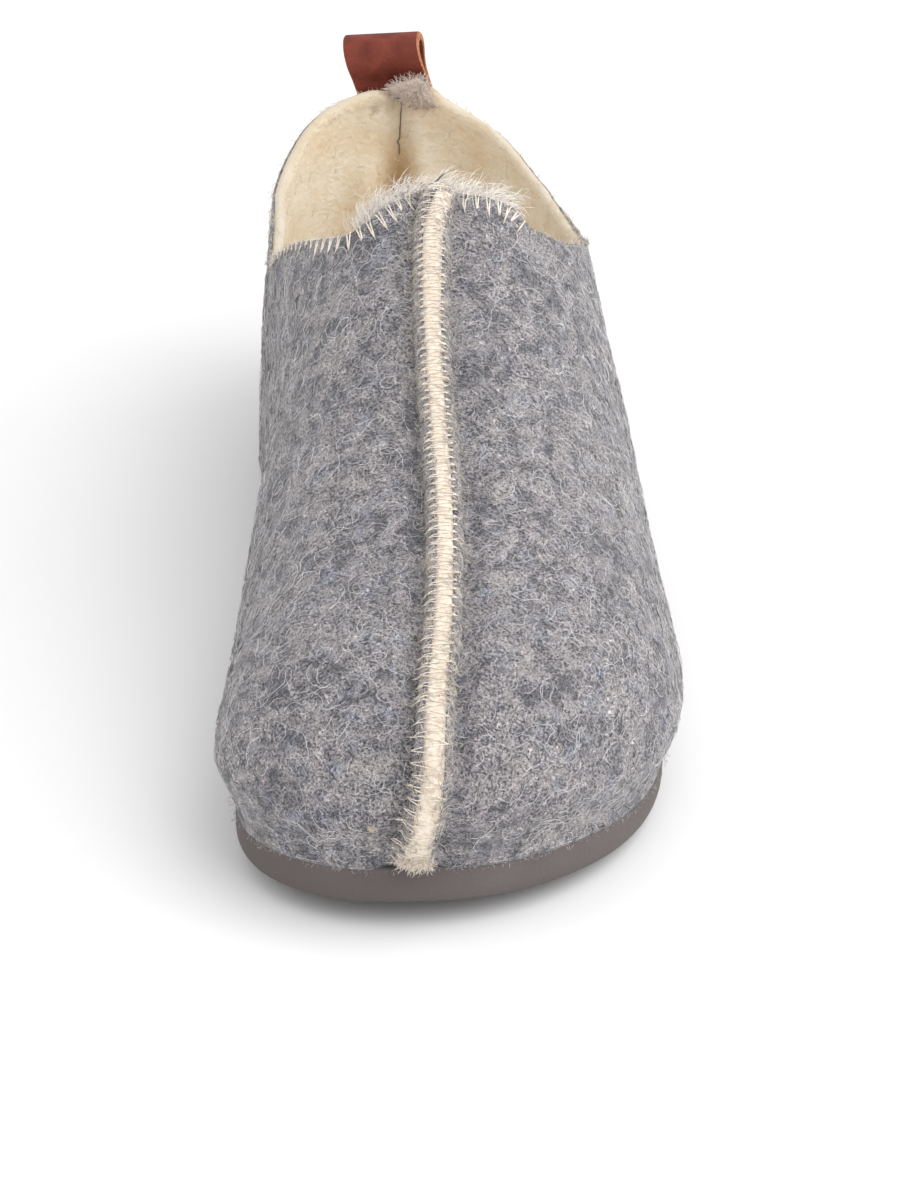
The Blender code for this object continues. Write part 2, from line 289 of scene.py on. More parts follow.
# Loose fibres: how many, points in each, length, curl radius, lift off the felt, thickness, and how much more
# of them there are in cloudy patches; then the spans of their random lengths, bends and lifts
FIBRE_CLOUD = 0.011
FIBRES = named(
    "piece finish slot count points length curl lift radius cloud",
    ("felt_fibres_light", "light_fibre", "grey_felt", 3200, 12, 0.0080, 0.0018, 0.0003, 0.00005, 0.7),
    ("felt_fibres_grey", "grey_fibre", "grey_felt", 5100, 8, 0.0050, 0.0013, 0.00025, 0.00005, 0.0),
    ("felt_fibres_dark", "dark_fibre", "grey_felt", 2600, 6, 0.0030, 0.0010, 0.00015, 0.00006, -0.8),
    ("lining_fibres", "lining_fibre", "cream_felt", 1500, 6, 0.0042, 0.0020, 0.0002, 0.00005, 0.0),
)
FIBRE_LENGTHS = (0.5, 1.5)
FIBRE_BENDS = (0.6, 3.0)
FIBRE_LIFTS = (0.3, 1.7)
FIBRE_WANDER = 0.25
FREE_SHARE = 0.04
SEAM_CLEAR = 0.0036
RIM_THIN = 0.006
RIM_SHARE = 0.25

# Fuzz on the seam: how many fibres, where they start across it, and their length and lift
FUZZ_CREAM = Group(count=2200, start=0.0027, spread=0.0008, length=0.0026, lift=0.0004)
FUZZ_GREY = Group(count=1500, start=0.0034, spread=0.0008, length=0.0030, lift=0.0006)
FUZZ_BEND = 0.5

# Tufts: points, sides and thickness of each fibre, and the spans of their random lengths, turns and swings
TUFT_POINTS = 6
TUFT_SIDES = 3
TUFT_RADIUS = 0.00005
TUFT_LENGTHS = (0.4, 1.2)
TUFT_TURNS = (2.0, 5.0)
TUFT_SWINGS = (0.4, 1.4)

# Tufts along the collar: side, first and last turn, how many, how long, and share of the wall inside the felt
TUFTS = named(
    "piece side first last count length inside",
    ("throat_fluff", -1, 0.512, 0.526, 1200, 0.0072, 0.9),
    ("throat_fluff", -1, 0.505, 0.512, 400, 0.0050, 0.9),
    ("throat_fluff", 1, 0.507, 0.526, 1100, 0.0066, 0.9),
    ("throat_fluff", -1, 0.560, 0.650, 260, 0.0024, 0.8),
    ("rim_fuzz", -1, 0.506, 0.640, 380, 0.0014, 0.3),
    ("rim_fuzz", 1, 0.506, 0.640, 380, 0.0014, 0.3),
    ("lining_fuzz", -1, 0.540, 1.000, 900, 0.0024, 0.45),
    ("lining_fuzz", 1, 0.540, 1.000, 900, 0.0024, 0.45),
)
TUFT_ROOT = 0.0012
TUFT_SPREAD = 0.70
TUFT_CURL = 0.62
TUFT_INSIDE_PLAY = 0.3
TUFT_UPRIGHT = 0.4

# Other tufts: the felt's lower edge, the frayed lower end of the seam, and a cream fleck beside it on the toe
HEM = Group(count=900, length=0.0011, spread=0.5, curl=0.0004, out=0.6, down=0.8)
FRAY = Group(count=300, length=0.0022, spread=0.5, curl=0.00066, share=0.020, left=-0.0038, right=0.0032,
             lean=0.3)
FLECK = Group(count=90, length=0.0011, spread=1.0, curl=0.0005, share=0.037, across=-0.0098)

# A torn felt flap beside the heel seam: its outline across and above the heel's top, and its fluff
FLAP_OUTLINE = (
    (-0.0034, 0.0026), (-0.0008, 0.0040), (0.0020, 0.0048), (0.0045, 0.0053), (0.0062, 0.0042),
    (0.0072, 0.0022), (0.0085, -0.0005), (0.0098, -0.0026), (0.0040, -0.0032), (0.0000, -0.0012),
)
FLAP_CORNER_CUTS = 2
FLAP_CORNER = 0.25
FLAP_CENTRE = (0.0038, 0.0014)
FLAP_SETBACK = 0.0040
FLAP_HALF = 0.0013
FLAP_RINGS = 9
FLAP_FLUFF = Group(count=700, length=0.0019, spread=0.5, curl=0.0006)

# Dark thread inside the heel, from a loose end at the heel's top down the groove between two shares of the
# heel's height, and a thread end over the throat's top
TAIL = ((-0.0036, -0.0050, 0.0013), (-0.0002, -0.0050, 0.0004))
GROOVE_STITCHED = (0.985, 0.72)
GROOVE_STEPS = 30
THROAT_TAIL = (
    (-0.0020, -0.0010, 0.0006),
    (0.0000, -0.0004, 0.0014),
    (0.0012, 0.0002, 0.0024),
    (0.0022, 0.0006, 0.0030),
)

# Grey felt: lines of tangled fibre over a dark ground, from the lowest layer to the highest, with tones as
# factors of the felt's colour; then scales of (place, colour) for blotches and for painted shade in small
# pits, and a blue cast
FELT_GROUND = ((0.35, 0.15), (0.65, 0.50))
FELT_TANGLE = named(
    "size width tone share",
    (0.0013, 0.095, 0.70, 0.85),
    (0.0010, 0.075, 1.10, 0.85),
    (0.0011, 0.052, 1.70, 0.85),
    (0.0008, 0.044, 2.20, 0.85),
    (0.0013, 0.028, 2.60, 0.80),
    (0.0024, 0.016, 2.90, 0.65),
)
LINE_CORE = 0.3
FELT_BLOTCHES = ((0.38, (0.37, 0.38, 0.45)), (0.50, (0.90, 0.87, 0.89)), (0.60, (1.0, 0.965, 0.95)))
FELT_PIT_SHADE = ((0.63, (0.08, 0.08, 0.13)), (0.78, (1.0, 0.98, 0.98)))
BLUE_CAST = (0.76, 0.85, 1.0)

# Cream wool: its scale of colours, which puts painted shade between its tufts, its painted shade on faces
# that look up, and two marks placed from the heel's top: a worn patch, and painted tan shade in the valley
# between the heel's pads
WOOL_TONES_AND_TUFT_SHADE = ((0.34, (0.76, 0.61, 0.41)), (0.48, (0.85, 0.73, 0.55)), (0.62, (0.90, 0.82, 0.69)))
PAINTED_SHADE_ON_UPWARD_WOOL = (0.77, 0.77, 0.77)
WORN = Group(at=(-0.0055, -0.0040, -0.0045), reach=0.0052, colour=(0.40, 0.26, 0.20))
PAINTED_VALLEY_SHADE = Group(at=(0.0, -0.006, -0.028), reach=0.030, half=0.0062, colour=(0.34, 0.17, 0.03))

# Other scales of colour, and tones of the rubber, thread and leather as factors of their colours
SEAM_TONES = ((0.32, (0.73, 0.62, 0.50)), (0.47, (0.82, 0.72, 0.60)), (0.66, (0.87, 0.80, 0.70)))
CUT_EDGE_TONES = ((0.35, (0.20, 0.065, 0.025)), (0.60, (0.50, 0.20, 0.065)))
FLOOR_TONES = ((0.3, (0.90, 0.90, 0.90)), (0.7, (0.93, 0.93, 0.93)))
THREAD_TONES = ((0.35, 0.8), (0.65, 1.1))
RUBBER_TONES = ((0.35, 0.8556), (0.65, 1.0044))
LEATHER_TONES = ((0.32, 0.70), (0.50, 1.0), (0.68, 1.3))
LEATHER_DYE = (0.92, 0.82, 0.78)
CREAM_THREAD = (0.90, 0.81, 0.70)
DARK_THREAD = (0.07, 0.07, 0.08)

# Loose fibres' finishes: darkest and lightest tone as factors of the felt's colour, or as colours
GREY_FIBRES = named(
    "finish darkest lightest",
    ("light_fibre", 1.9, 3.3),
    ("grey_fibre", 0.5, 2.0),
    ("dark_fibre", 0.15, 0.4),
    ("pale_fibre", 0.7, 2.0),
)
TINTED_FIBRES = named(
    "finish darkest lightest",
    ("warm_grey_felt", (0.48, 0.39, 0.34), (0.52, 0.43, 0.38)),
    ("warm_grey_fibre", (0.62, 0.51, 0.44), (0.86, 0.77, 0.70)),
    ("white_fibre", (0.93, 0.86, 0.78), (0.99, 0.96, 0.93)),
    ("cream_fibre", (0.72, 0.61, 0.49), (0.90, 0.82, 0.71)),
    ("lining_fibre", (0.80, 0.69, 0.52), (0.88, 0.80, 0.68)),
)

# Studio: floor, surrounding light and soft lights
FLOOR_SIZE = 8.0
WORLD_STRENGTH = 0.76
LIGHT_AIM = (0.0, 0.0, 0.04)
LIGHTS = named(
    "name at size power",
    ("key_light", (0.75, -0.65, 1.45), 1.6, 18.0),
    ("fill_light", (-0.30, -1.25, 1.20), 1.2, 1.5),
    ("right_light", (1.10, -0.05, 0.50), 0.9, 4.0),
    ("left_light", (-1.10, -0.05, 0.60), 0.9, 2.0),
)

# Camera of the photograph, fitted to the slipper's outline
CAMERA_AT = (-0.0635, -1.0176, 0.5868)
CAMERA_YAW = math.radians(3.84)
CAMERA_PITCH = math.radians(29.62)
CAMERA_ROLL = math.radians(0.5)
CAMERA_LENS = 155.27


def smooth(table, columns, column, at):
    """Reads a table's column at a place between its rows, on a smooth curve through the rows."""
    value = columns.index(column)
    xs = [row[0] for row in table]
    ys = [row[value] for row in table]
    final = len(xs) - 1
    low = max(0, min(final - 1, sum(x <= at for x in xs) - 1))
    span = xs[low + 1] - xs[low]
    share = (at - xs[low]) / span
    rest = 1 - share

    def slope(row):
        before = max(row - 1, 0)
        after = min(row + 1, final)
        return span * (ys[after] - ys[before]) / (xs[after] - xs[before])

    from_low = ys[low] * (1 + 2 * share) + slope(low) * share
    from_high = ys[low + 1] * (1 + 2 * rest) - slope(low + 1) * rest
    return from_low * rest ** 2 + from_high * share ** 2


def section(column, at):
    return smooth(SECTIONS, SECTION_COLUMNS, column, at)


def ridge(column, share):
    return smooth(RIDGE, RIDGE_COLUMNS, column, share)


def strap(column, share):
    return smooth(LOOP_PATH, PATH_COLUMNS, column, share)


def ease(share):
    """0 to 1 with a soft start and a soft end."""
    share = max(0.0, min(1.0, share))
    return share * share * (3 - 2 * share)


def end_round(depth, rounding):
    """Share of the width that is left at a depth from one end of the outline."""
    span, exponent = rounding
    reach = max(0.0, 1 - depth / span)
    return max(0.0, 1 - reach ** exponent) ** (1 / exponent)


def along(at):
    """Y of a station: 0 is the back of the heel and 1 the tip of the toe."""
    return HEEL_Y - at * LENGTH


def sole_edge(at, side):
    """X of the sole's outline at a station; side is -1 medial or 1 lateral."""
    ends = end_round(at, HEEL_ROUND) * end_round(1 - at, TOE_ROUND[side])
    width = section(SIDE_NAMES[side], at) * ends
    return AXIS_X + BALL_WIDTH * (section("axis", at) + side * width)


def station(turn):
    """Station of a place round the sole's edge: turn 0 is the toe's tip and 1 the heel's back."""
    return (1 + math.cos(math.pi * turn)) / 2


def outward(at, side):
    """Level direction that points out from the sole's outline."""
    turn = math.acos(2 * at - 1) / math.pi
    step = 0.001
    if turn < step or turn > 1 - step:
        return Vector((0.0, -1.0 if turn < 0.5 else 1.0, 0.0))
    before = station(turn - step)
    after = station(turn + step)
    run = sole_edge(after, side) - sole_edge(before, side)
    return Vector((side * (along(after) - along(before)), -side * run, 0.0)).normalized()


def spring(at):
    """How far the toe's end of the sole is lifted."""
    return TOE_SPRING * max(0.0, (at - SPRING_START) / (1 - SPRING_START)) ** 2


def arch(at):
    """How far the middle of the sole's underside is lifted."""
    share = (at - ARCH_START) / (ARCH_END - ARCH_START)
    return ARCH_RISE * math.sin(math.pi * share) ** 2 if 0 < share < 1 else 0.0


def last_point(at, up, side):
    """A point on the outer face of the upper: up runs from 0 at the sole to 1 at the foot's ridge."""
    foot = Vector((sole_edge(at, side), along(at), spring(at) + SOLE_THICKNESS + GAP))
    top_at = RIDGE_HEEL + (RIDGE_TOE - RIDGE_HEEL) * at
    top = Vector((AXIS_X + BALL_WIDTH * section("seam", top_at), along(top_at),
                  INSTEP_HEIGHT * section("crown", top_at)))
    power = 2 / section("fullness", at)
    angle = up * math.pi / 2
    run = 1 - max(0.0, math.cos(angle)) ** power
    rise = (top.z - foot.z) * math.sin(angle) ** power
    swell = BULGE * section("bulge", at) * ease(rise / BULGE_RISE) * (1 - up ** BULGE_FADE)
    point = foot.lerp(top, run) + outward(at, side) * swell
    point.z = foot.z + rise
    return point


def top_line(turn, side):
    """Station and share up of the upper's top: the ridge as far as the throat, then the collar."""
    if turn <= THROAT_TURN:
        share = (1 - station(turn)) / (1 - station(THROAT_TURN))
        return 1 - (1 - THROAT_AT) * share, 1.0
    return [smooth(COLLAR, COLLAR_COLUMNS, SIDE_NAMES[side] + ending, turn) for ending in ("_at", "_up")]


def panel_point(turn, share, side):
    """A point of one half of the upper, from the sole's edge at share 0 to its top line at share 1."""
    base = station(turn)
    top_at, top_up = top_line(turn, side)
    at = base + (top_at - base) * share ** PANEL_SWEEP
    return last_point(max(0.0, min(1.0, at)), top_up * share, side)


def column_turns():
    """Where the upper's columns of faces stand: even on the ridge, and by the collar's rows after it."""
    turns = [THROAT_TURN * step / RIDGE_STEPS for step in range(RIDGE_STEPS)]
    marks = [row[0] for row in COLLAR]
    for start, end in zip(marks, marks[1:]):
        turns += [start + (end - start) * step / COLLAR_STEPS for step in range(COLLAR_STEPS)]
    return turns + [1.0]


def heel_line(start, end, steps):
    """Points down the middle of the heel's outer face, between two shares of its height."""
    return [panel_point(1.0, start + (end - start) * k / steps, 1) for k in range(steps + 1)]


def unit(vectors):
    """Vectors of length one along the last axis."""
    return vectors / np.linalg.norm(vectors, axis=-1, keepdims=True)


def vertex_normals(points, faces):
    """Smooth normals of a mesh of four-cornered faces."""
    corners = points[faces]
    flat = np.cross(corners[:, 2] - corners[:, 0], corners[:, 3] - corners[:, 1])
    normals = np.zeros_like(points)
    for corner in range(faces.shape[1]):
        np.add.at(normals, faces[:, corner], flat)
    return unit(normals)


def tree_of(points, faces):
    """A search tree of a face, for finding the nearest place on it and for casting rays at it."""
    return BVHTree.FromPolygons(points.tolist(), faces.tolist())


def nearest(points, line):
    """The nearest point of a line to each point: its index and its distance."""
    tree = KDTree(len(line))
    for index, point in enumerate(line):
        tree.insert(point, index)
    tree.balance()
    found = [tree.find(point)[1:] for point in points]
    return np.array([index for index, _ in found]), np.array([distance for _, distance in found])


def upper_skin():
    """The upper's outer face as arrays. Both halves share their points at the toe, the ridge and the heel;
    collar and foot list the points of its two open edges in order, rise points up out of the collar, and
    nearest and collar_gap tell each point's nearest place in the collar and its distance."""
    turns = column_turns()
    shares = [(row / UP_STEPS) ** PANEL_CROWDING for row in range(UP_STEPS + 1)]
    throat = RIDGE_STEPS
    ids = {side: np.zeros((len(turns), len(shares)), int) for side in SIDE_NAMES}
    points = []
    faces = []
    for side, grid in ids.items():
        for column, turn in enumerate(turns):
            for row, share in enumerate(shares):
                at_end = column in (0, len(turns) - 1)
                on_ridge = column <= throat and row == UP_STEPS
                if side == 1 and (at_end or on_ridge):
                    grid[column, row] = ids[-1][column, row]
                    continue
                grid[column, row] = len(points)
                points.append(panel_point(turn, share, side))
        quads = np.stack([grid[:-1, :-1], grid[:-1, 1:], grid[1:, 1:], grid[1:, :-1]], axis=-1).reshape(-1, 4)
        faces.append(quads if side == -1 else quads[:, ::-1])
    points = np.array(points)
    faces = np.vstack(faces)
    normals = vertex_normals(points, faces)
    collar = np.concatenate([ids[-1][throat:, -1], ids[1][throat + 1:-1, -1][::-1]])
    foot = np.concatenate([ids[-1][:, 0], ids[1][1:-1, 0][::-1]])
    run = np.roll(points[collar], -1, axis=0) - np.roll(points[collar], 1, axis=0)
    rise = unit(np.cross(run, normals[collar]))
    collar_index, collar_gap = nearest(points, points[collar])
    return Group(points=points, normals=normals, faces=faces, collar=collar, foot=foot, rise=rise,
                 nearest=collar_index, collar_gap=collar_gap)


def hollows(points, table):
    """Depth of soft hollows at points: each row of the table is the hollows' size and depth."""
    depth = np.zeros(len(points))
    for size, deepest in table:
        values = [noise.noise(Vector(point) / size) for point in points]
        depth += deepest * (0.5 + 0.5 * np.array(values))
    return depth


def dent(gap, shape):
    """Depth of a soft dent at a distance, deepest at the shape's own distance."""
    return shape.depth * np.exp(-((gap - shape.at) / shape.spread) ** 2)


def soft_relief(skin, seam_gap):
    """Heights over the skin of the felt's face, of the face between felt and wool, and of the wool's face."""
    eased = np.vectorize(ease)
    heel_gap = nearest(skin.points, heel_line(0.0, 1.0, UP_STEPS))[1]
    foot_gap = nearest(skin.points, skin.points[skin.foot])[1]
    felt = -hollows(skin.points, FELT_HOLLOWS) - dent(seam_gap, TROUGH) - dent(heel_gap, HEEL_SEAM)
    between = np.minimum(dent(skin.collar_gap, RIM_THINNING) - FELT_LAYER, felt - RIM_FELT)
    pads = dent(heel_gap, PADS) * eased((skin.collar_gap - PADS_TOP) / PADS_FADE)
    wool = hollows(skin.points, LINING_HOLLOWS) + dent(heel_gap, GROOVE) - pads
    over_bed = eased((foot_gap - INSOLE_THICKNESS) / BED_FADE)
    wool = wool * over_bed - WALL - BED_PRESS * (1 - over_bed)
    return felt, between, np.minimum(wool, -FELT_LAYER - 2 * GAP)


def faced(skin, lift, faces):
    """A face at a height over the skin, with its normals and search tree."""
    points = skin.points + skin.normals * lift[:, None]
    return Group(points=points, normals=vertex_normals(points, faces), tree=tree_of(points, faces))


def on_face(tree, spot, height):
    """The place at a height over the nearest place on a face."""
    seat, facing, *_ = tree.find_nearest(spot)
    return seat + facing * height


def ring_faces(low, high):
    """Faces between two closed rings of points with the same count."""
    return np.stack([low, np.roll(low, -1), np.roll(high, -1), high], axis=-1)


def wall_layer(skin, outer_lift, inner_lift, edge_rise):
    """A closed wall between two heights over the skin, with a half-round edge at the collar. The edge stands
    over the collar's line by its rise, and the wall below it gives way a little less with each step down."""
    count = len(skin.points)
    outer = skin.points + skin.normals * outer_lift[:, None]
    inner = skin.points + skin.normals * inner_lift[:, None]
    rim = skin.collar
    reach = (outer[rim] - inner[rim]) / 2
    rise = skin.rise * np.linalg.norm(reach, axis=1, keepdims=True)
    lower = (rise - skin.rise * edge_rise[:, None])[skin.nearest]
    lower = lower * np.maximum(0.0, 1 - skin.collar_gap / RIM_FADE)[:, None]
    outer -= lower
    inner -= lower
    middle = (outer[rim] + inner[rim]) / 2
    arcs = []
    rings = [rim]
    for step in range(1, RIM_STEPS):
        angle = math.pi * step / RIM_STEPS
        arcs.append(middle + reach * math.cos(angle) + rise * math.sin(angle))
        rings.append(2 * count + (step - 1) * len(rim) + np.arange(len(rim)))
    rings.append(rim + count)
    faces = [skin.faces, skin.faces[:, ::-1] + count, ring_faces(skin.foot, skin.foot + count)]
    faces += [ring_faces(low, high)[:, ::-1] for low, high in zip(rings, rings[1:])]
    return np.vstack([outer, inner, *arcs]), np.vstack(faces).tolist()


def between_rings(rings):
    """Points of a row of rings, their numbers ring by ring, and the faces between the rings."""
    points = np.array(rings).reshape(-1, 3)
    numbers = np.arange(len(points)).reshape(len(rings), -1)
    faces = np.vstack([ring_faces(low, high) for low, high in zip(numbers, numbers[1:])])
    return points, numbers.tolist(), faces.tolist()


def sweep(rings):
    """Points and faces of a closed bar through rings of points, with flat ends."""
    points, numbers, faces = between_rings(rings)
    return points, faces + [numbers[0][::-1], numbers[-1]]


def plate(rings):
    """Points and faces of a closed plate from rings round the sole's outline, lowest first."""
    points, numbers, faces = between_rings(rings)
    faces = [face[::-1] for face in faces]
    bottom = numbers[0]
    top = numbers[-1]
    for near in range(len(top) // 2 - 1):
        far = len(top) - 1 - near
        faces.append([bottom[near], bottom[near + 1], bottom[far - 1], bottom[far]])
        faces.append([top[far], top[far - 1], top[near + 1], top[near]])
    return points, faces


def link(name, data):
    """An object in the scene, from its data."""
    made = bpy.data.objects.new(name, data)
    bpy.context.scene.collection.objects.link(made)
    return made


def mesh_object(name, points, faces, finish):
    """A mesh in the scene, with its material."""
    mesh = bpy.data.meshes.new(name)
    mesh.from_pydata(points, [], faces)
    mesh.materials.append(finish)
    return link(name, mesh)


def place(name, points, faces, finish, slot, stands_for=None):
    """Makes a piece of the slipper from an array of points and lists of faces, riding on its one body."""
    piece = mesh_object(name, points.tolist(), faces, finish)
    piece.data.shade_smooth()
    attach(piece, "root")
    if stands_for:
        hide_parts(stands_for)
    return piece


def add_strands(name, paths, finish, slot, radius=TUFT_RADIUS, sides=TUFT_SIDES):
    """Joins thin tubes along many paths into one piece. Each tube runs to a point at both ends."""
    paths = np.array(paths)
    count, length = paths.shape[:2]
    ahead = unit(np.gradient(paths, axis=1))
    aside = unit(np.cross(ahead, THREAD_UP))
    over = np.cross(aside, ahead)
    angles = np.arange(sides) * 2 * math.pi / sides
    spokes = (aside[:, 1:-1, None, :] * np.cos(angles)[:, None]
              + over[:, 1:-1, None, :] * np.sin(angles)[:, None])
    rings = paths[:, 1:-1, None, :] + spokes * radius
    points = np.concatenate([paths[:, :1], rings.reshape(count, -1, 3), paths[:, -1:]], axis=1)
    each = points.shape[1]
    triangles = []
    for k in range(sides):
        after = (k + 1) % sides
        triangles.append((0, 1 + k, 1 + after))
        for ring in range(length - 3):
            low = 1 + ring * sides
            high = low + sides
            triangles.append((low + k, high + k, high + after))
            triangles.append((low + k, high + after, low + after))
        last = 1 + (length - 3) * sides
        triangles.append((last + k, each - 1, last + after))
    faces = np.array(triangles)[None] + (np.arange(count) * each)[:, None, None]
    place(name, points.reshape(-1, 3), faces.reshape(-1, 3).tolist(), finish, slot)


def add_thread(name, path, finish, slot, radius=THREAD_RADIUS):
    """One long thread along a path of points."""
    add_strands(name, [path], finish, slot, radius, THREAD_SIDES)


class Finish:
    """A procedural material in the making: each method adds nodes and returns an output."""

    def __init__(self, name, roughness, sheen=0.0, specular=0.5):
        self.material = bpy.data.materials.new(name)
        self.material.use_nodes = True
        self.tree = self.material.node_tree
        self.shader = self.tree.nodes["Principled BSDF"]
        looks = {"Roughness": roughness, "Sheen Weight": sheen, "Specular IOR Level": specular}
        self.feed(self.shader, looks)
        self.place = self.node("ShaderNodeTexCoord", "Object")

    def feed(self, node, values):
        """Links outputs to a node's sockets, or sets the sockets to plain numbers and colours."""
        for name, value in values.items():
            socket = node.inputs[name]
            if isinstance(value, bpy.types.NodeSocket):
                self.tree.links.new(value, socket)
            else:
                socket.default_value = (*value, 1.0) if socket.type == "RGBA" else value

    def node(self, kind, output, values=None, **settings):
        node = self.tree.nodes.new(kind)
        for name, value in settings.items():
            setattr(node, name, value)
        self.feed(node, values or {})
        return node.outputs[output]

    def noise(self, size, detail=2.0, distortion=0.0, seed=0.0):
        """Cloudy values about 0.5, with features of a size in metres."""
        values = {"Vector": self.place, "W": seed, "Scale": 1 / size}
        values |= {"Detail": detail, "Distortion": distortion}
        return self.node("ShaderNodeTexNoise", "Fac", values, noise_dimensions="4D")

    def cells(self, size):
        """Distance from the middle of the nearest of many cells of a size in metres."""
        return self.node("ShaderNodeTexVoronoi", "Distance", {"Vector": self.place, "Scale": 1 / size})

    def axis(self, name, vector):
        return self.node("ShaderNodeSeparateXYZ", name, {"Vector": vector})

    def math(self, operation, first, second=0.0):
        return self.node("ShaderNodeMath", "Value", {0: first, 1: second}, operation=operation)

    def total(self, first, second, share):
        """The first value and a share of the second."""
        return self.math("ADD", first, self.math("MULTIPLY", second, share))

    def average(self, first, second, share):
        """A value between two, by the second one's share."""
        return self.total(self.math("MULTIPLY", first, 1 - share), second, share)

    def level(self, value, low, high):
        """0 at low and 1 at high."""
        return self.node("ShaderNodeMapRange", "Result", {"Value": value, "From Min": low, "From Max": high})

    def threads(self, size, width, seed):
        """Thin curled lines, 1 on a line and 0 beside it: the contours of a cloudy field."""
        field = self.noise(size, detail=1.0, distortion=1.0, seed=seed)
        return self.level(self.gap(field, 0.5), width, LINE_CORE * width)

    def gap(self, value, middle):
        """How far a value is from a middle one."""
        return self.math("ABSOLUTE", self.math("SUBTRACT", value, middle))

    def near(self, spot, reach):
        """1 at a spot, falling to 0 at a reach in metres."""
        away = self.node("ShaderNodeVectorMath", "Value", {0: self.place, 1: spot}, operation="DISTANCE")
        return self.level(away, reach, 0.0)

    def ramp(self, value, stops):
        """A colour read from a scale of (place, colour) stops."""
        colour = self.node("ShaderNodeValToRGB", "Color", {"Fac": value})
        elements = colour.node.color_ramp.elements
        while len(elements) < len(stops):
            elements.new(0.5)
        for element, (at, tone) in zip(elements, stops):
            element.position = at
            element.color = (*tone, 1.0)
        return colour

    def mix(self, share, first, second, blend="MIX"):
        """Blends two colours by a share, through the mix node's sockets for colours."""
        share_socket, first_socket, second_socket, result = 0, 6, 7, 2
        values = {share_socket: share, first_socket: first, second_socket: second}
        return self.node("ShaderNodeMix", result, values, data_type="RGBA", blend_type=blend)

    def finished(self, colour, height=None, depth=0.0):
        """Sets the colour and, from a height field, a bump of a depth in metres."""
        self.feed(self.shader, {"Base Color": colour})
        if height is not None:
            bump = self.node("ShaderNodeBump", "Normal", {"Height": height, "Distance": depth})
            self.feed(self.shader, {"Normal": bump})
        return self.material


def shade(colour, factor):
    """A colour made lighter or darker."""
    return tuple(min(1.0, part * factor) for part in colour)


def shades(colour, stops):
    """A scale of colours from stops of (place, factor)."""
    return [(at, shade(colour, factor)) for at, factor in stops]


def felt_finish():
    """Grey melange felt: a tangle of pale fibre lines over a dark ground, with blotches and a blue cast."""
    made = Finish("grey_felt_nap", roughness=0.95, sheen=0.60)
    grey = SLOT_COLOURS["grey_felt"]
    colour = made.ramp(made.noise(size=0.0012), shades(grey, FELT_GROUND))
    height = 0.0
    for layer, row in enumerate(FELT_TANGLE, start=1):
        line = made.math("MULTIPLY", made.threads(row.size, row.width, seed=layer), row.share)
        colour = made.mix(line, colour, shade(grey, row.tone))
        height = made.math("MAXIMUM", height, made.math("MULTIPLY", line, layer / len(FELT_TANGLE)))
    blotch = made.noise(size=0.015, detail=3.0)
    mottle = made.noise(size=0.0042, detail=3.0, distortion=0.6)
    pit = made.noise(size=0.0006, seed=21.0)
    blue = made.level(made.noise(size=0.0052, detail=3.0, seed=9.0), low=0.52, high=0.68)
    blotches = made.ramp(made.average(blotch, mottle, share=0.6), FELT_BLOTCHES)
    # Painted shade: dark specks where small pits between the fibres would lie in shade
    pit_shade = made.ramp(made.total(pit, mottle, share=0.5), FELT_PIT_SHADE)
    for share, tint in ((1.0, blotches), (1.0, pit_shade), (blue, BLUE_CAST)):
        colour = made.mix(share, colour, tint, blend="MULTIPLY")
    return made.finished(colour, made.total(height, mottle, share=0.8), depth=0.0008)


def wool_finish(heel_top):
    """Brushed cream wool of uneven tone, with painted shade between its tufts and on faces that look up;
    inside the heel a worn stain and painted tan shade in the valley between the pads.
    """
    made = Finish("cream_wool_pile", roughness=0.95, sheen=0.2)
    tuft = made.noise(size=0.0016, detail=3.0, distortion=0.5)
    # Large uneven tone is the wool's own; the share of the tufts makes it darker where the tufts sink, as
    # painted shade
    tone = made.average(made.noise(size=0.013, detail=3.0), tuft, share=0.3)
    colour = made.ramp(tone, WOOL_TONES_AND_TUFT_SHADE)
    bare = made.level(made.noise(size=0.004, detail=3.0), low=0.40, high=0.60)
    worn = made.math("MULTIPLY", made.near(heel_top + Vector(WORN.at), WORN.reach), bare)
    colour = made.mix(worn, colour, WORN.colour)
    # Painted tan shade in the valley between the heel's pads, strongest near the heel's middle line
    beside = made.level(made.gap(made.axis("X", made.place), heel_top.x), PAINTED_VALLEY_SHADE.half, 0.0)
    valley_shade = made.math("MULTIPLY", made.near(heel_top + Vector(PAINTED_VALLEY_SHADE.at), PAINTED_VALLEY_SHADE.reach), beside)
    colour = made.mix(valley_shade, colour, PAINTED_VALLEY_SHADE.colour)
    # Painted shade: faces that look up are darkened, because they catch more of the light from above
    upward = made.axis("Z", made.node("ShaderNodeNewGeometry", "Normal"))
    colour = made.mix(made.level(upward, low=0.0, high=0.7), colour, PAINTED_SHADE_ON_UPWARD_WOOL, blend="MULTIPLY")
    return made.finished(colour, tuft, depth=0.0004)


def seam_finish():
    """The cream core of the seam: wool drawn together by its thread."""
    made = Finish("cream_seam_core", roughness=0.9, sheen=0.2)
    knot = made.noise(size=0.0011, distortion=0.6)
    return made.finished(made.ramp(knot, SEAM_TONES), knot, depth=0.0002)


def fibre_finish(name, darkest, lightest):
    """Loose fibres, each of its own tone between two colours."""
    made = Finish(name, roughness=0.8, sheen=0.1)
    each = made.node("ShaderNodeNewGeometry", "Random Per Island")
    return made.finished(made.ramp(each, ((0.0, darkest), (1.0, lightest))))


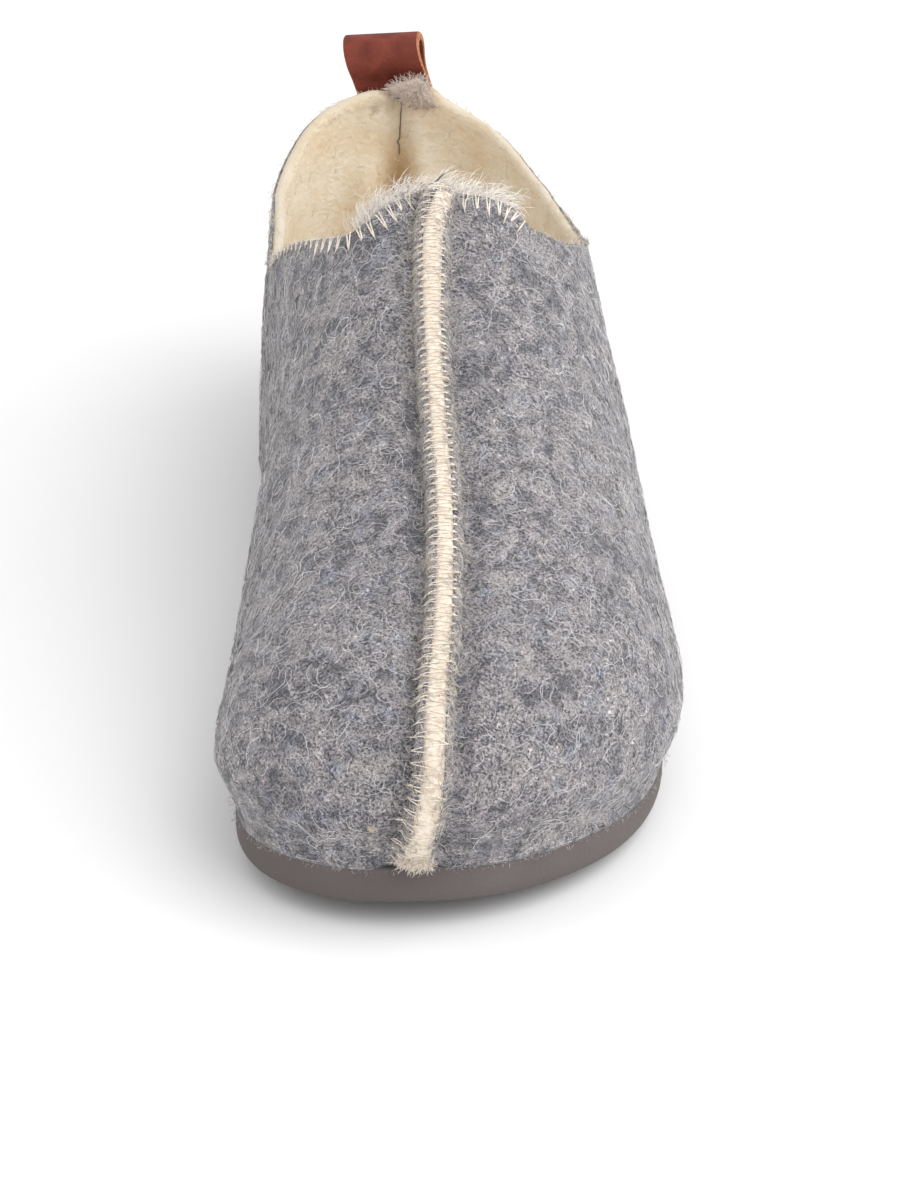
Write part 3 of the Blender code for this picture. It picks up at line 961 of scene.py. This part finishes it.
def thread_finish(name, colour):
    """Sewing thread with a fine twist."""
    made = Finish(name, roughness=0.6, sheen=0.2)
    twist = made.noise(size=0.0006, detail=1.0)
    return made.finished(made.ramp(twist, shades(colour, THREAD_TONES)), twist, depth=0.0001)


def rubber_finish():
    """Matte moulded rubber with a fine grain."""
    made = Finish("matte_sole_rubber", roughness=0.75, specular=0.3)
    colour = made.ramp(made.noise(size=0.02), shades(SLOT_COLOURS["sole_rubber"], RUBBER_TONES))
    return made.finished(colour, made.cells(size=0.0009), depth=0.00012)


def leather_finish():
    """Smooth brown leather with a fine pore grain and a slightly uneven dye."""
    made = Finish("brown_leather_face", roughness=0.55, specular=0.12)
    leather = [part * dye for part, dye in zip(SLOT_COLOURS["loop_leather"], LEATHER_DYE)]
    uneven = made.noise(size=0.006, detail=4.0, distortion=0.5)
    colour = made.ramp(uneven, shades(leather, LEATHER_TONES))
    return made.finished(colour, made.cells(size=0.0006), depth=0.0001)


def cut_edge_finish():
    """The raw orange-brown edge of cut leather."""
    made = Finish("brown_leather_edge", roughness=0.7)
    fibre = made.noise(size=0.0009, detail=3.0)
    return made.finished(made.ramp(fibre, CUT_EDGE_TONES), fibre, depth=0.0003)


def floor_finish():
    """Plain pale floor."""
    made = Finish("pale_floor", roughness=0.6)
    return made.finished(made.ramp(made.noise(size=0.4), FLOOR_TONES))


def make_finishes(heel_top):
    """All materials of the slipper; those of loose fibres under their own names."""
    grey = SLOT_COLOURS["grey_felt"]
    fibres = [(row.finish, shade(grey, row.darkest), shade(grey, row.lightest)) for row in GREY_FIBRES]
    fibres += [(row.finish, row.darkest, row.lightest) for row in TINTED_FIBRES]
    return Group(
        felt=felt_finish(),
        wool=wool_finish(heel_top),
        seam=seam_finish(),
        rubber=rubber_finish(),
        leather=leather_finish(),
        cut_edge=cut_edge_finish(),
        thread=thread_finish("cream_thread", CREAM_THREAD),
        dark_thread=thread_finish("dark_thread", DARK_THREAD),
        **{name: fibre_finish(name, darkest, lightest) for name, darkest, lightest in fibres},
    )


def seam_on(skin):
    """The front seam's middle over the upper, up the toe and along the ridge to the throat, with its length
    and the face under it."""
    shares = np.linspace(0, 1, SEAM_STEPS + 1)
    fine = [last_point(1.0, SEAM_START_UP + (1 - SEAM_START_UP) * share, 1) for share in shares[:-1]]
    fine += [last_point(1 - (1 - SEAM_END_AT) * share, 1.0, 1) for share in shares]
    fine = np.array(fine)
    runs = np.concatenate([[0.0], np.cumsum(np.linalg.norm(np.diff(fine, axis=0), axis=1))])
    line = np.column_stack([np.interp(runs[-1] * shares, runs, column) for column in fine.T])
    line[:, 0] += [smooth(SEAM_SWAY, SWAY_COLUMNS, "sway", share) for share in shares]
    length = np.linalg.norm(np.diff(line, axis=0), axis=1).sum()
    return Group(line=[Vector(point) for point in line], length=length, tree=tree_of(skin.points, skin.faces))


def ridge_height(across):
    """Height of the seam's ridge over the felt at a distance from its middle."""
    share = min(1.0, abs(across) / (SEAM_WIDTH / 2))
    return SEAM_HEIGHT * (1 - share ** SEAM_FULLNESS) ** 0.5


def ridge_spot(seam, share, across, height):
    """A point over the felt: share of the way along the seam, distance across its middle, height."""
    step = max(0.0, min(1.0, share)) * SEAM_STEPS
    low = min(SEAM_STEPS - 1, int(step))
    centre = seam.line[low].lerp(seam.line[low + 1], step - low)
    ahead = (seam.line[min(low + 2, SEAM_STEPS)] - seam.line[max(low - 1, 0)]).normalized()
    aside = Vector((1.0, 0.0, 0.0))
    aside = (aside - ahead * aside.dot(ahead)).normalized()
    out = aside.cross(ahead)
    seat = seam.tree.ray_cast(centre + aside * across + out * SEAM_WIDTH, -out)[0]
    return seat + out * height


def ridge_edges(share):
    """Places across the seam where its strips begin and end: felt edge, cream core, felt edge."""
    middle = ridge("middle", share)
    core = ridge("core", share)
    return -SEAM_WIDTH / 2, middle - core, middle + core, SEAM_WIDTH / 2


def core_relief(run, across):
    """Knots of the core: one row on each side of its middle, half a pitch apart."""
    turn = run / CORE_KNOT_PITCH + (0.5 if across > 0 else 0.0)
    return CORE_KNOT * (abs(math.sin(math.pi * turn)) - 0.5)


def flank_relief(run, across):
    """Uneven felt on the ridge's flanks."""
    return FLANK_ROUGHNESS * noise.noise(Vector((run, across, 0.0)) / FLANK_GRAIN)


def seam_bar(seam, strip, relief):
    """One strip of the seam's ridge, by its place among the strips; relief gives its height over the plain
    ridge by run along and place across."""
    rings = []
    for step in range(SEAM_STEPS + 1):
        share = step / SEAM_STEPS
        start, end = ridge_edges(share)[strip:strip + 2]
        taper = ease((1 - share) / SEAM_TAPER) ** 0.5
        ring = []
        for k in range(STRIP_STEPS + 1):
            across = start + (end - start) * k / STRIP_STEPS
            height = taper * (ridge_height(across) + relief(share * seam.length, across))
            ring.append(ridge_spot(seam, share, across, height - GAP * (k in (0, STRIP_STEPS))))
        ring += [ridge_spot(seam, share, across, -GAP) for across in (end, start)]
        rings.append(ring)
    return sweep(rings)


def add_seam(seam, finishes):
    """The front seam: two grey felt edges that stand against a cream core."""
    for strip, name in enumerate(SEAM_STRIPS):
        if name == "seam_core":
            place(name, *seam_bar(seam, strip, core_relief), finishes.seam, "cream_felt", "front_seam")
        else:
            place(name, *seam_bar(seam, strip, flank_relief), finishes.felt, "grey_felt")


def seam_thread(rng, seam):
    """Path of the seam's thread: from side to side over the ridge."""
    path = []
    run = 0.0
    forth = True
    while run < seam.length:
        share = run / seam.length
        half = ridge("pitch", share) / 2
        left = -ridge("left", share) * rng.uniform(*THREAD_REACH)
        right = ridge("right", share) * rng.uniform(*THREAD_REACH)
        start, end = (left, right) if forth else (right, left)
        for step in range(STITCH_POINTS):
            done = step / STITCH_POINTS
            across = start + (end - start) * done
            on_core = abs(across - ridge("middle", share)) < ridge("core", share)
            height = ridge_height(across) + (THREAD_RISE if on_core else THREAD_FLOAT)
            path.append(ridge_spot(seam, share + half * done / seam.length, across, height))
        run += half
        forth = not forth
    return path


def seam_fuzz(rng, seam, kind):
    """Paths of short curled fibres over the seam's ridge."""
    stride = kind.length / (TUFT_POINTS - 1)
    paths = []
    for _ in range(kind.count):
        share = rng.random()
        across = rng.choice((-1, 1)) * rng.normal(kind.start, kind.spread)
        angle = rng.uniform(0, 2 * math.pi)
        bend = rng.normal(scale=FUZZ_BEND)
        path = []
        for step in range(TUFT_POINTS):
            height = ridge_height(across) + kind.lift * step / (TUFT_POINTS - 1)
            path.append(ridge_spot(seam, share, across, height))
            angle += bend
            share += stride * math.cos(angle) / seam.length
            across += stride * math.sin(angle)
        paths.append(path)
    return paths


def tufts(rng, roots, ways, kind):
    """Paths of curled fibres that stand out from roots, each along its way."""
    count = len(roots)
    ways = unit(ways + rng.normal(scale=kind.spread, size=(count, 3)))
    first = unit(np.cross(ways, rng.normal(size=(count, 3))))
    second = np.cross(ways, first)
    steps = np.linspace(0, 1, TUFT_POINTS)
    reach = kind.length * rng.uniform(*TUFT_LENGTHS, count)[:, None] * steps
    angle = rng.uniform(0, 2 * math.pi, count)[:, None] + steps * rng.uniform(*TUFT_TURNS, count)[:, None]
    swing = kind.curl * rng.uniform(*TUFT_SWINGS, count)[:, None] * steps
    ways_and_lengths = ((ways, reach), (first, np.cos(angle) * swing), (second, np.sin(angle) * swing))
    return roots[:, None] + sum(way[:, None] * length[..., None] for way, length in ways_and_lengths)


def seam_fray(rng, seam):
    """Paths of frayed wool at the seam's lower end, over the sole's edge."""
    shares = rng.uniform(0, FRAY.share, FRAY.count)
    places = rng.uniform(FRAY.left, FRAY.right, FRAY.count)
    roots = [ridge_spot(seam, share, across, ridge_height(across)) for share, across in zip(shares, places)]
    down = (seam.line[0] - seam.line[1]).normalized() - Vector((0.0, FRAY.lean, 0.0))
    ways = np.tile(tuple(down), (FRAY.count, 1))
    ways[:, 0] += places / SEAM_WIDTH
    return tufts(rng, np.array(roots), ways, FRAY)


def toe_fleck(rng, seam):
    """Paths of a small knot of cream wool that sticks to the felt beside the seam's lower end."""
    root = ridge_spot(seam, FLECK.share, FLECK.across, 0.0)
    ways = rng.normal(size=(FLECK.count, 3))
    return tufts(rng, np.tile(tuple(root), (FLECK.count, 1)), ways, FLECK)


def collar_thread(rng, skin, felt, lining):
    """Path of the thread that overcasts the collar's front, round its edge from outside and back."""
    loop = skin.points[skin.collar]
    runs = np.linalg.norm(np.roll(loop, -1, axis=0) - loop, axis=1)
    marks = np.concatenate([[0.0], np.cumsum(runs)])
    columns = np.hstack([loop, skin.normals[skin.collar], skin.rise])
    columns = np.vstack([columns, columns[:1]]).T
    wraps = [*EDGE_WRAP, *EDGE_WRAP[-2:0:-1]]
    path = []
    for stitch in range(int((STITCH_LATERAL + STITCH_MEDIAL) / STITCH_PITCH)):
        reach = rng.uniform(*STITCH_REACH)
        if STITCH_PITCH * stitch - STITCH_LATERAL > STITCH_FULL:
            reach *= STITCH_FAINT
        for step, wrap in enumerate(wraps):
            run = (STITCH_PITCH * (stitch + step / len(wraps)) - STITCH_LATERAL) % marks[-1]
            found = [np.interp(run, marks, column) for column in columns]
            edge = Vector(found[:3])
            normal = Vector(found[3:6]).normalized()
            rise = Vector(found[6:]).normalized()
            spot = edge - normal * WALL * wrap.through - rise * wrap.depth * reach
            if wrap.through in (0.0, 1.0):
                face = felt if wrap.through == 0.0 else lining
                path.append(on_face(face.tree, spot, THREAD_RADIUS))
            else:
                path.append(spot + rise * THREAD_RADIUS)
    return path


def heel_thread(rng, felt):
    """Path of zigzag stitches over the closed seam at the back of the heel, from the sole to the collar."""
    line = heel_line(*HEEL_STITCHED, HEEL_STITCHES)
    path = []
    for step, (low, high) in enumerate(zip(line, line[1:])):
        side = 1 if step % 2 else -1
        for k in range(STITCH_POINTS):
            done = k / STITCH_POINTS
            across = side * HEEL_STITCH_REACH * (1 - 2 * done) * rng.uniform(*HEEL_STITCH_PLAY)
            spot = low.lerp(high, done) + Vector((across, 0.0, 0.0))
            path.append(on_face(felt.tree, spot, THREAD_RADIUS))
    return path


def groove_thread(lining, heel_top):
    """Path of the dark thread that closes the heel seam on the inside."""
    path = [heel_top + Vector(offset) for offset in TAIL]
    for point in heel_line(*GROOVE_STITCHED, GROOVE_STEPS):
        path.append(on_face(lining.tree, point - Vector((0.0, WALL, 0.0)), THREAD_RADIUS))
    return path


def rounded(outline):
    """A closed outline with its corners cut a few times."""
    spots = np.array(outline)
    for _ in range(FLAP_CORNER_CUTS):
        after = np.roll(spots, -1, axis=0)
        cuts = [spots + (after - spots) * share for share in (FLAP_CORNER, 1 - FLAP_CORNER)]
        spots = np.stack(cuts, axis=1).reshape(-1, 2)
    return spots


def add_flap(rng, heel_top, finishes):
    """The torn felt flap beside the heel seam, a soft pad with fluff on it."""
    outline = rounded(FLAP_OUTLINE)
    centre = np.array(FLAP_CENTRE)
    rings = []
    for step in range(FLAP_RINGS):
        angle = math.pi * ((step + 0.5) / FLAP_RINGS - 0.5)
        spots = centre + (outline - centre) * math.cos(angle)
        back = FLAP_HALF * math.sin(angle) - FLAP_SETBACK
        rings.append([heel_top + Vector((across, back, up)) for across, up in spots])
    points, faces = sweep(rings)
    place("heel_flap", points, faces, finishes.warm_grey_felt, "grey_felt")
    roots = points[rng.integers(0, len(points), FLAP_FLUFF.count)]
    paths = tufts(rng, roots, unit(roots - points.mean(axis=0)), FLAP_FLUFF)
    add_strands("heel_flap_fluff", paths, finishes.warm_grey_fibre, "grey_felt")


def loop_point(tree, across, depth, rise):
    """Sets a point of the strap behind the heel's face, slanted, and twists what stands above the collar."""
    share = ease((rise - LOOP_FREE) / LOOP_BIGHT)
    middle = AXIS_X + LOOP_OFFSET - LOOP_LEAN * rise
    seat_height = LOOP_FOOT + min(rise, LOOP_SEAT)

    def heel_y(x):
        start = Vector((x, HEEL_Y + LENGTH, seat_height))
        return tree.ray_cast(start, Vector((0.0, -1.0, 0.0)))[0].y

    curved = heel_y(middle + across)
    seat = curved + (heel_y(middle) - curved) * share
    angle = LOOP_TWIST * share
    x = across * math.cos(angle) + depth * math.sin(angle)
    y = depth * math.cos(angle) - across * math.sin(angle)
    return Vector((middle + x, seat + y, LOOP_FOOT + rise + LOOP_TILT * across * share))


def strap_outline():
    """Points round the strap's section, as (across, through), with rounded corners."""
    wide = LOOP_WIDTH / 2 - STRAP_CORNER
    thick = LOOP_THICKNESS / 2 - STRAP_CORNER
    corners = ((wide, thick), (-wide, thick), (-wide, -thick), (wide, -thick))
    outline = []
    for quarter, (across, through) in enumerate(corners):
        for step in range(STRAP_CORNER_STEPS + 1):
            angle = (quarter + step / STRAP_CORNER_STEPS) * math.pi / 2
            outline.append((across + STRAP_CORNER * math.cos(angle),
                            through + STRAP_CORNER * math.sin(angle)))
        if quarter % 2 == 0:
            start = outline[-1]
            outline += [(start[0] * (1 - 2 * k / STRAP_STEPS), start[1]) for k in range(1, STRAP_STEPS)]
    return outline


def add_loop(tree, finishes):
    """The folded leather strap, with its cut edges in a finish of their own."""
    outline = strap_outline()
    rings = []
    for step in range(LOOP_STEPS + 1):
        share = step / LOOP_STEPS
        before = max(0.0, share - STRAP_STRIDE)
        after = min(1.0, share + STRAP_STRIDE)
        ahead = [strap(name, after) - strap(name, before) for name in ("depth", "rise")]
        length = math.hypot(*ahead)
        rings.append([loop_point(tree, across, strap("depth", share) + ahead[1] / length * through,
                                 strap("rise", share) - ahead[0] / length * through)
                      for across, through in outline])
    points, faces = sweep(rings)
    loop = place("leather_loop", points, faces, finishes.leather, "loop_leather", "pull_loop")
    loop.data.materials.append(finishes.cut_edge)
    at_edge = [abs(across) > LOOP_WIDTH / 2 - STRAP_CUT_EDGE for across, _ in outline]
    cut = [here and after for here, after in zip(at_edge, at_edge[1:] + at_edge[:1])]
    for polygon in loop.data.polygons[:LOOP_STEPS * len(outline)]:
        polygon.material_index = int(cut[polygon.index % len(outline)])


def loop_stitches(tree):
    """Paths of a box of short stitches through the strap's two tails."""
    top = strap("depth", 1.0) + LOOP_THICKNESS / 2
    side = LOOP_WIDTH / 2 - LOOP_STITCH_INSET
    corners = [Vector((-side, LOOP_STITCH_LOW)), Vector((side, LOOP_STITCH_LOW)),
               Vector((side, LOOP_STITCH_HIGH)), Vector((-side, LOOP_STITCH_HIGH))]
    paths = []
    for start, end in zip(corners, corners[1:] + corners[:1]):
        count = round((end - start).length / LOOP_STITCH_PITCH)
        for stitch in range(count):
            path = []
            for done in np.linspace(0, 1, TUFT_POINTS):
                at = (stitch + LOOP_STITCH_SPACE + (1 - 2 * LOOP_STITCH_SPACE) * done) / count
                across, rise = start.lerp(end, at)
                depth = top + THREAD_RADIUS * (2 * math.sin(math.pi * done) - 1)
                path.append(loop_point(tree, across, depth, rise))
            paths.append(path)
    return paths


def sole_ring(inset, height):
    """Points round the sole's outline drawn in by inset, at heights given by station and step."""
    halves = {side: [] for side in SIDE_NAMES}
    for side, half in halves.items():
        for step in range(SOLE_STEPS):
            at = station((step + 0.5) / SOLE_STEPS)
            edge = Vector((sole_edge(at, side), along(at), height(at, step)))
            half.append(edge - outward(at, side) * inset)
    return halves[-1] + halves[1][::-1]


def add_sole(finishes):
    """The moulded sole: a rounded lower edge, upright sides and a ribbed underside."""
    def ring(inset, share, rib_lift=0.0):
        def height(at, step):
            rib = rib_lift if (step // TREAD_RIB_STEPS) % 2 else 0.0
            return spring(at) + arch(at) + share * (SOLE_THICKNESS - arch(at)) + rib
        return sole_ring(SOLE_LEDGE + inset, height)

    rings = [ring(TREAD_INSET + TREAD_DEPTH, 0.0, TREAD_DEPTH), ring(TREAD_INSET, 0.0)]
    for step in range(SOLE_ROUND_STEPS + 1):
        angle = math.pi / 2 * step / SOLE_ROUND_STEPS
        rings.append(ring(BOTTOM_INSET * (1 - math.sin(angle)), SOLE_ROUND_RISE * (1 - math.cos(angle))))
    rings += [ring(0.0, SOLE_SHOULDER), ring(GAP, 1.0)]
    place("moulded_sole", *plate(rings), finishes.rubber, "sole_rubber", "outsole")


def add_footbed(finishes):
    """The felt footbed: soft at its edge and a little crowned."""
    def ring(row):
        def height(at, _):
            return spring(at) + SOLE_THICKNESS + GAP + row.share * INSOLE_THICKNESS
        return sole_ring(WALL + 2 * GAP + row.inset, height)

    place("footbed", *plate([ring(row) for row in FOOTBED]), finishes.wool, "cream_felt", "insole")


def collar_places(rng, skin, row):
    """Random places on one side of the collar between two turns, with the way up out of it and its normal."""
    turns = np.array(column_turns()[RIDGE_STEPS:])
    length = len(skin.collar)
    where = np.interp(rng.uniform(row.first, row.last, row.count), turns, np.arange(len(turns)))
    low = where.astype(int)
    index = low if row.side == -1 else (length - low) % length
    after = (index - row.side) % length
    share = (where - low)[:, None]

    def between(values):
        return values[index] * (1 - share) + values[after] * share

    normals = skin.normals[skin.collar]
    return between(skin.points[skin.collar]), unit(between(skin.rise)), unit(between(normals))


def add_fluff(rng, skin, finishes):
    """Tufts of the wool lining that stand up behind the collar, and fuzz along the felt's edge."""
    looks = {
        "throat_fluff": (finishes.white_fibre, "cream_felt"),
        "rim_fuzz": (finishes.pale_fibre, "grey_felt"),
        "lining_fuzz": (finishes.cream_fibre, "cream_felt"),
    }
    for name, look in looks.items():
        paths = []
        for row in [row for row in TUFTS if row.piece == name]:
            edges, rises, normals = collar_places(rng, skin, row)
            inside = rng.uniform(row.inside - TUFT_INSIDE_PLAY, row.inside + TUFT_INSIDE_PLAY, row.count)
            roots = edges - normals * WALL * inside[:, None] - rises * TUFT_ROOT
            kind = Group(length=row.length, spread=TUFT_SPREAD, curl=row.length * TUFT_CURL)
            paths.append(tufts(rng, roots, rises - normals * (row.inside - TUFT_UPRIGHT), kind))
        add_strands(name, np.concatenate(paths), *look)


def add_hem(rng, skin, finishes):
    """Fibres of the felt's lower edge that hang over the top of the sole."""
    picked = rng.choice(skin.foot, HEM.count)
    roots = skin.points[picked] + rng.normal(scale=GAP, size=(HEM.count, 3))
    ways = skin.normals[picked] * HEM.out - np.array((0.0, 0.0, HEM.down))
    add_strands("hem_fibres", tufts(rng, roots, ways, HEM), finishes.grey_fibre, "grey_felt")


def scatter(rng, face, faces, count, weights):
    """Random places on a face, more of them where the points' weights are high, with their normals."""
    corners = np.concatenate([faces[:, [0, 1, 2]], faces[:, [0, 2, 3]]])
    sides = face.points[corners]
    area = np.linalg.norm(np.cross(sides[:, 1] - sides[:, 0], sides[:, 2] - sides[:, 0]), axis=1)
    chance = area * weights[corners].mean(axis=1)
    picked = rng.choice(len(corners), size=count, p=chance / chance.sum())
    share = rng.random((count, 2))
    share = np.where(share.sum(axis=1, keepdims=True) > 1, 1 - share, share)
    share = np.column_stack([1 - share.sum(axis=1), share])[:, :, None]
    chosen = corners[picked]
    return (face.points[chosen] * share).sum(axis=1), unit((face.normals[chosen] * share).sum(axis=1))


def curls(rng, tree, roots, normals, kind):
    """Paths of curled fibres that follow a face: each leaves it, rises by about the kind's lift and comes
    back to it, apart from a small share that ends in the air."""
    count = len(roots)
    free = (rng.random(count) < FREE_SHARE).astype(float)
    first = unit(np.cross(normals, rng.normal(size=(count, 3))))
    second = np.cross(normals, first)
    length = kind.length * rng.uniform(*FIBRE_LENGTHS, count)
    bend = length / (kind.curl * rng.uniform(*FIBRE_BENDS, count)) * rng.choice((-1, 1), count)
    lift = kind.lift * rng.uniform(*FIBRE_LIFTS, count)
    steps = np.linspace(0, 1, kind.points)
    angle = bend[:, None] * steps + rng.normal(scale=FIBRE_WANDER, size=(count, kind.points))
    stride = (length / (kind.points - 1))[:, None, None]
    strides = stride * (first[:, None] * np.cos(angle)[..., None]
                        + second[:, None] * np.sin(angle)[..., None])
    strides[:, 0] = 0
    paths = roots[:, None] + np.cumsum(strides, axis=1)
    heights = lift[:, None] * np.sin(math.pi * steps * (1 - free[:, None] / 2)) - kind.radius
    return [[on_face(tree, spot, height) for spot, height in zip(*row)] for row in zip(paths, heights)]


def add_fibres(rng, skin, felt, lining, seam_gap, finishes):
    """Loose fibres over the grey felt and the cream lining."""
    cloud = np.array([noise.noise(Vector(point) / FIBRE_CLOUD) for point in skin.points])
    clear = np.where(seam_gap > SEAM_CLEAR, 1.0, 0.0) * np.where(skin.collar_gap > RIM_THIN, 1.0, RIM_SHARE)
    for kind in FIBRES:
        inside = kind.slot == "cream_felt"
        face = lining if inside else felt
        weights = np.ones(len(cloud)) if inside else clear * (1.0 + kind.cloud * cloud)
        roots, normals = scatter(rng, face, skin.faces, kind.count, weights)
        paths = curls(rng, face.tree, roots, normals, kind)
        add_strands(kind.piece, paths, getattr(finishes, kind.finish), kind.slot, kind.radius)


def add_camera():
    """The photograph's camera."""
    data = bpy.data.cameras.new("photo_camera")
    data.lens = CAMERA_LENS
    camera = link("photo_camera", data)
    turn = Matrix.Rotation(-CAMERA_YAW, 4, "Z") @ Matrix.Rotation(math.pi / 2 - CAMERA_PITCH, 4, "X")
    camera.matrix_world = Matrix.Translation(CAMERA_AT) @ turn @ Matrix.Rotation(CAMERA_ROLL, 4, "Z")
    bpy.context.scene.camera = camera


def add_studio():
    """Pale floor, soft white surroundings, and square soft lights that face the slipper."""
    half = FLOOR_SIZE / 2
    corners = [(-half, -half, 0), (half, -half, 0), (half, half, 0), (-half, half, 0)]
    floor = mesh_object("floor", corners, [(0, 1, 2, 3)], floor_finish())
    floor.location.z = -LAYER_GAP
    world = bpy.data.worlds.new("studio")
    world.use_nodes = True
    background = world.node_tree.nodes["Background"]
    background.inputs["Color"].default_value = (1.0, 1.0, 1.0, 1.0)
    background.inputs["Strength"].default_value = WORLD_STRENGTH
    bpy.context.scene.world = world
    bpy.context.scene.view_settings.view_transform = "Standard"
    for row in LIGHTS:
        data = bpy.data.lights.new(row.name, "AREA")
        data.size = row.size
        data.energy = row.power
        light = link(row.name, data)
        light.location = row.at
        light.rotation_euler = (Vector(LIGHT_AIM) - Vector(row.at)).to_track_quat("-Z", "Y").to_euler()


def add_walls(skin, felt_lift, between, wool_lift, finishes):
    """The felt shell and the wool lining inside it, which share a face."""
    rim_y = skin.points[skin.collar, 1]
    heel_rise = HEEL_EDGE.rise * np.vectorize(ease)((rim_y - HEEL_EDGE.start) / HEEL_EDGE.fade)
    points, faces = wall_layer(skin, felt_lift, between, np.zeros(len(rim_y)))
    points[skin.foot, 2] -= HEM_DROP
    place("felt_shell", points, faces, finishes.felt, "grey_felt", "upper")
    points, faces = wall_layer(skin, between - LAYER_GAP, wool_lift, heel_rise)
    place("wool_lining", points, faces, finishes.wool, "cream_felt")


def main():
    rng = np.random.default_rng(SEED)
    heel_top = panel_point(1.0, 1.0, 1)
    throat_top = panel_point(THROAT_TURN, 1.0, 1)
    finishes = make_finishes(heel_top)
    add_camera()
    add_studio()

    skin = upper_skin()
    seam = seam_on(skin)
    seam_gap = nearest(skin.points, seam.line)[1]
    felt_lift, between, wool_lift = soft_relief(skin, seam_gap)
    felt = faced(skin, felt_lift, skin.faces)
    lining = faced(skin, wool_lift, skin.faces[:, ::-1])
    add_walls(skin, felt_lift, between, wool_lift, finishes)
    add_sole(finishes)
    add_footbed(finishes)
    add_seam(seam, finishes)
    add_loop(seam.tree, finishes)

    cream = (finishes.thread, "cream_felt")
    dark = (finishes.dark_thread, "grey_felt")
    tail = [throat_top + Vector(offset) for offset in THROAT_TAIL]
    add_thread("seam_thread", seam_thread(rng, seam), *cream)
    add_thread("collar_thread", collar_thread(rng, skin, felt, lining), *cream, STITCH_RADIUS)
    add_thread("heel_thread", heel_thread(rng, felt), *cream)
    add_thread("groove_thread", groove_thread(lining, heel_top), *dark)
    add_thread("throat_tail", tail, *dark, STITCH_RADIUS)
    add_strands("seam_fuzz_cream", seam_fuzz(rng, seam, FUZZ_CREAM), finishes.cream_fibre, "cream_felt")
    add_strands("seam_fuzz_grey", seam_fuzz(rng, seam, FUZZ_GREY), finishes.pale_fibre, "grey_felt")
    add_strands("seam_fray", seam_fray(rng, seam), *cream)
    add_strands("toe_fleck", toe_fleck(rng, seam), finishes.cream_fibre, "cream_felt")
    add_flap(rng, heel_top, finishes)
    add_strands("loop_stitches", loop_stitches(seam.tree), *cream, THREAD_RADIUS)
    add_fluff(rng, skin, finishes)
    add_hem(rng, skin, finishes)
    add_fibres(rng, skin, felt, lining, seam_gap, finishes)


main()
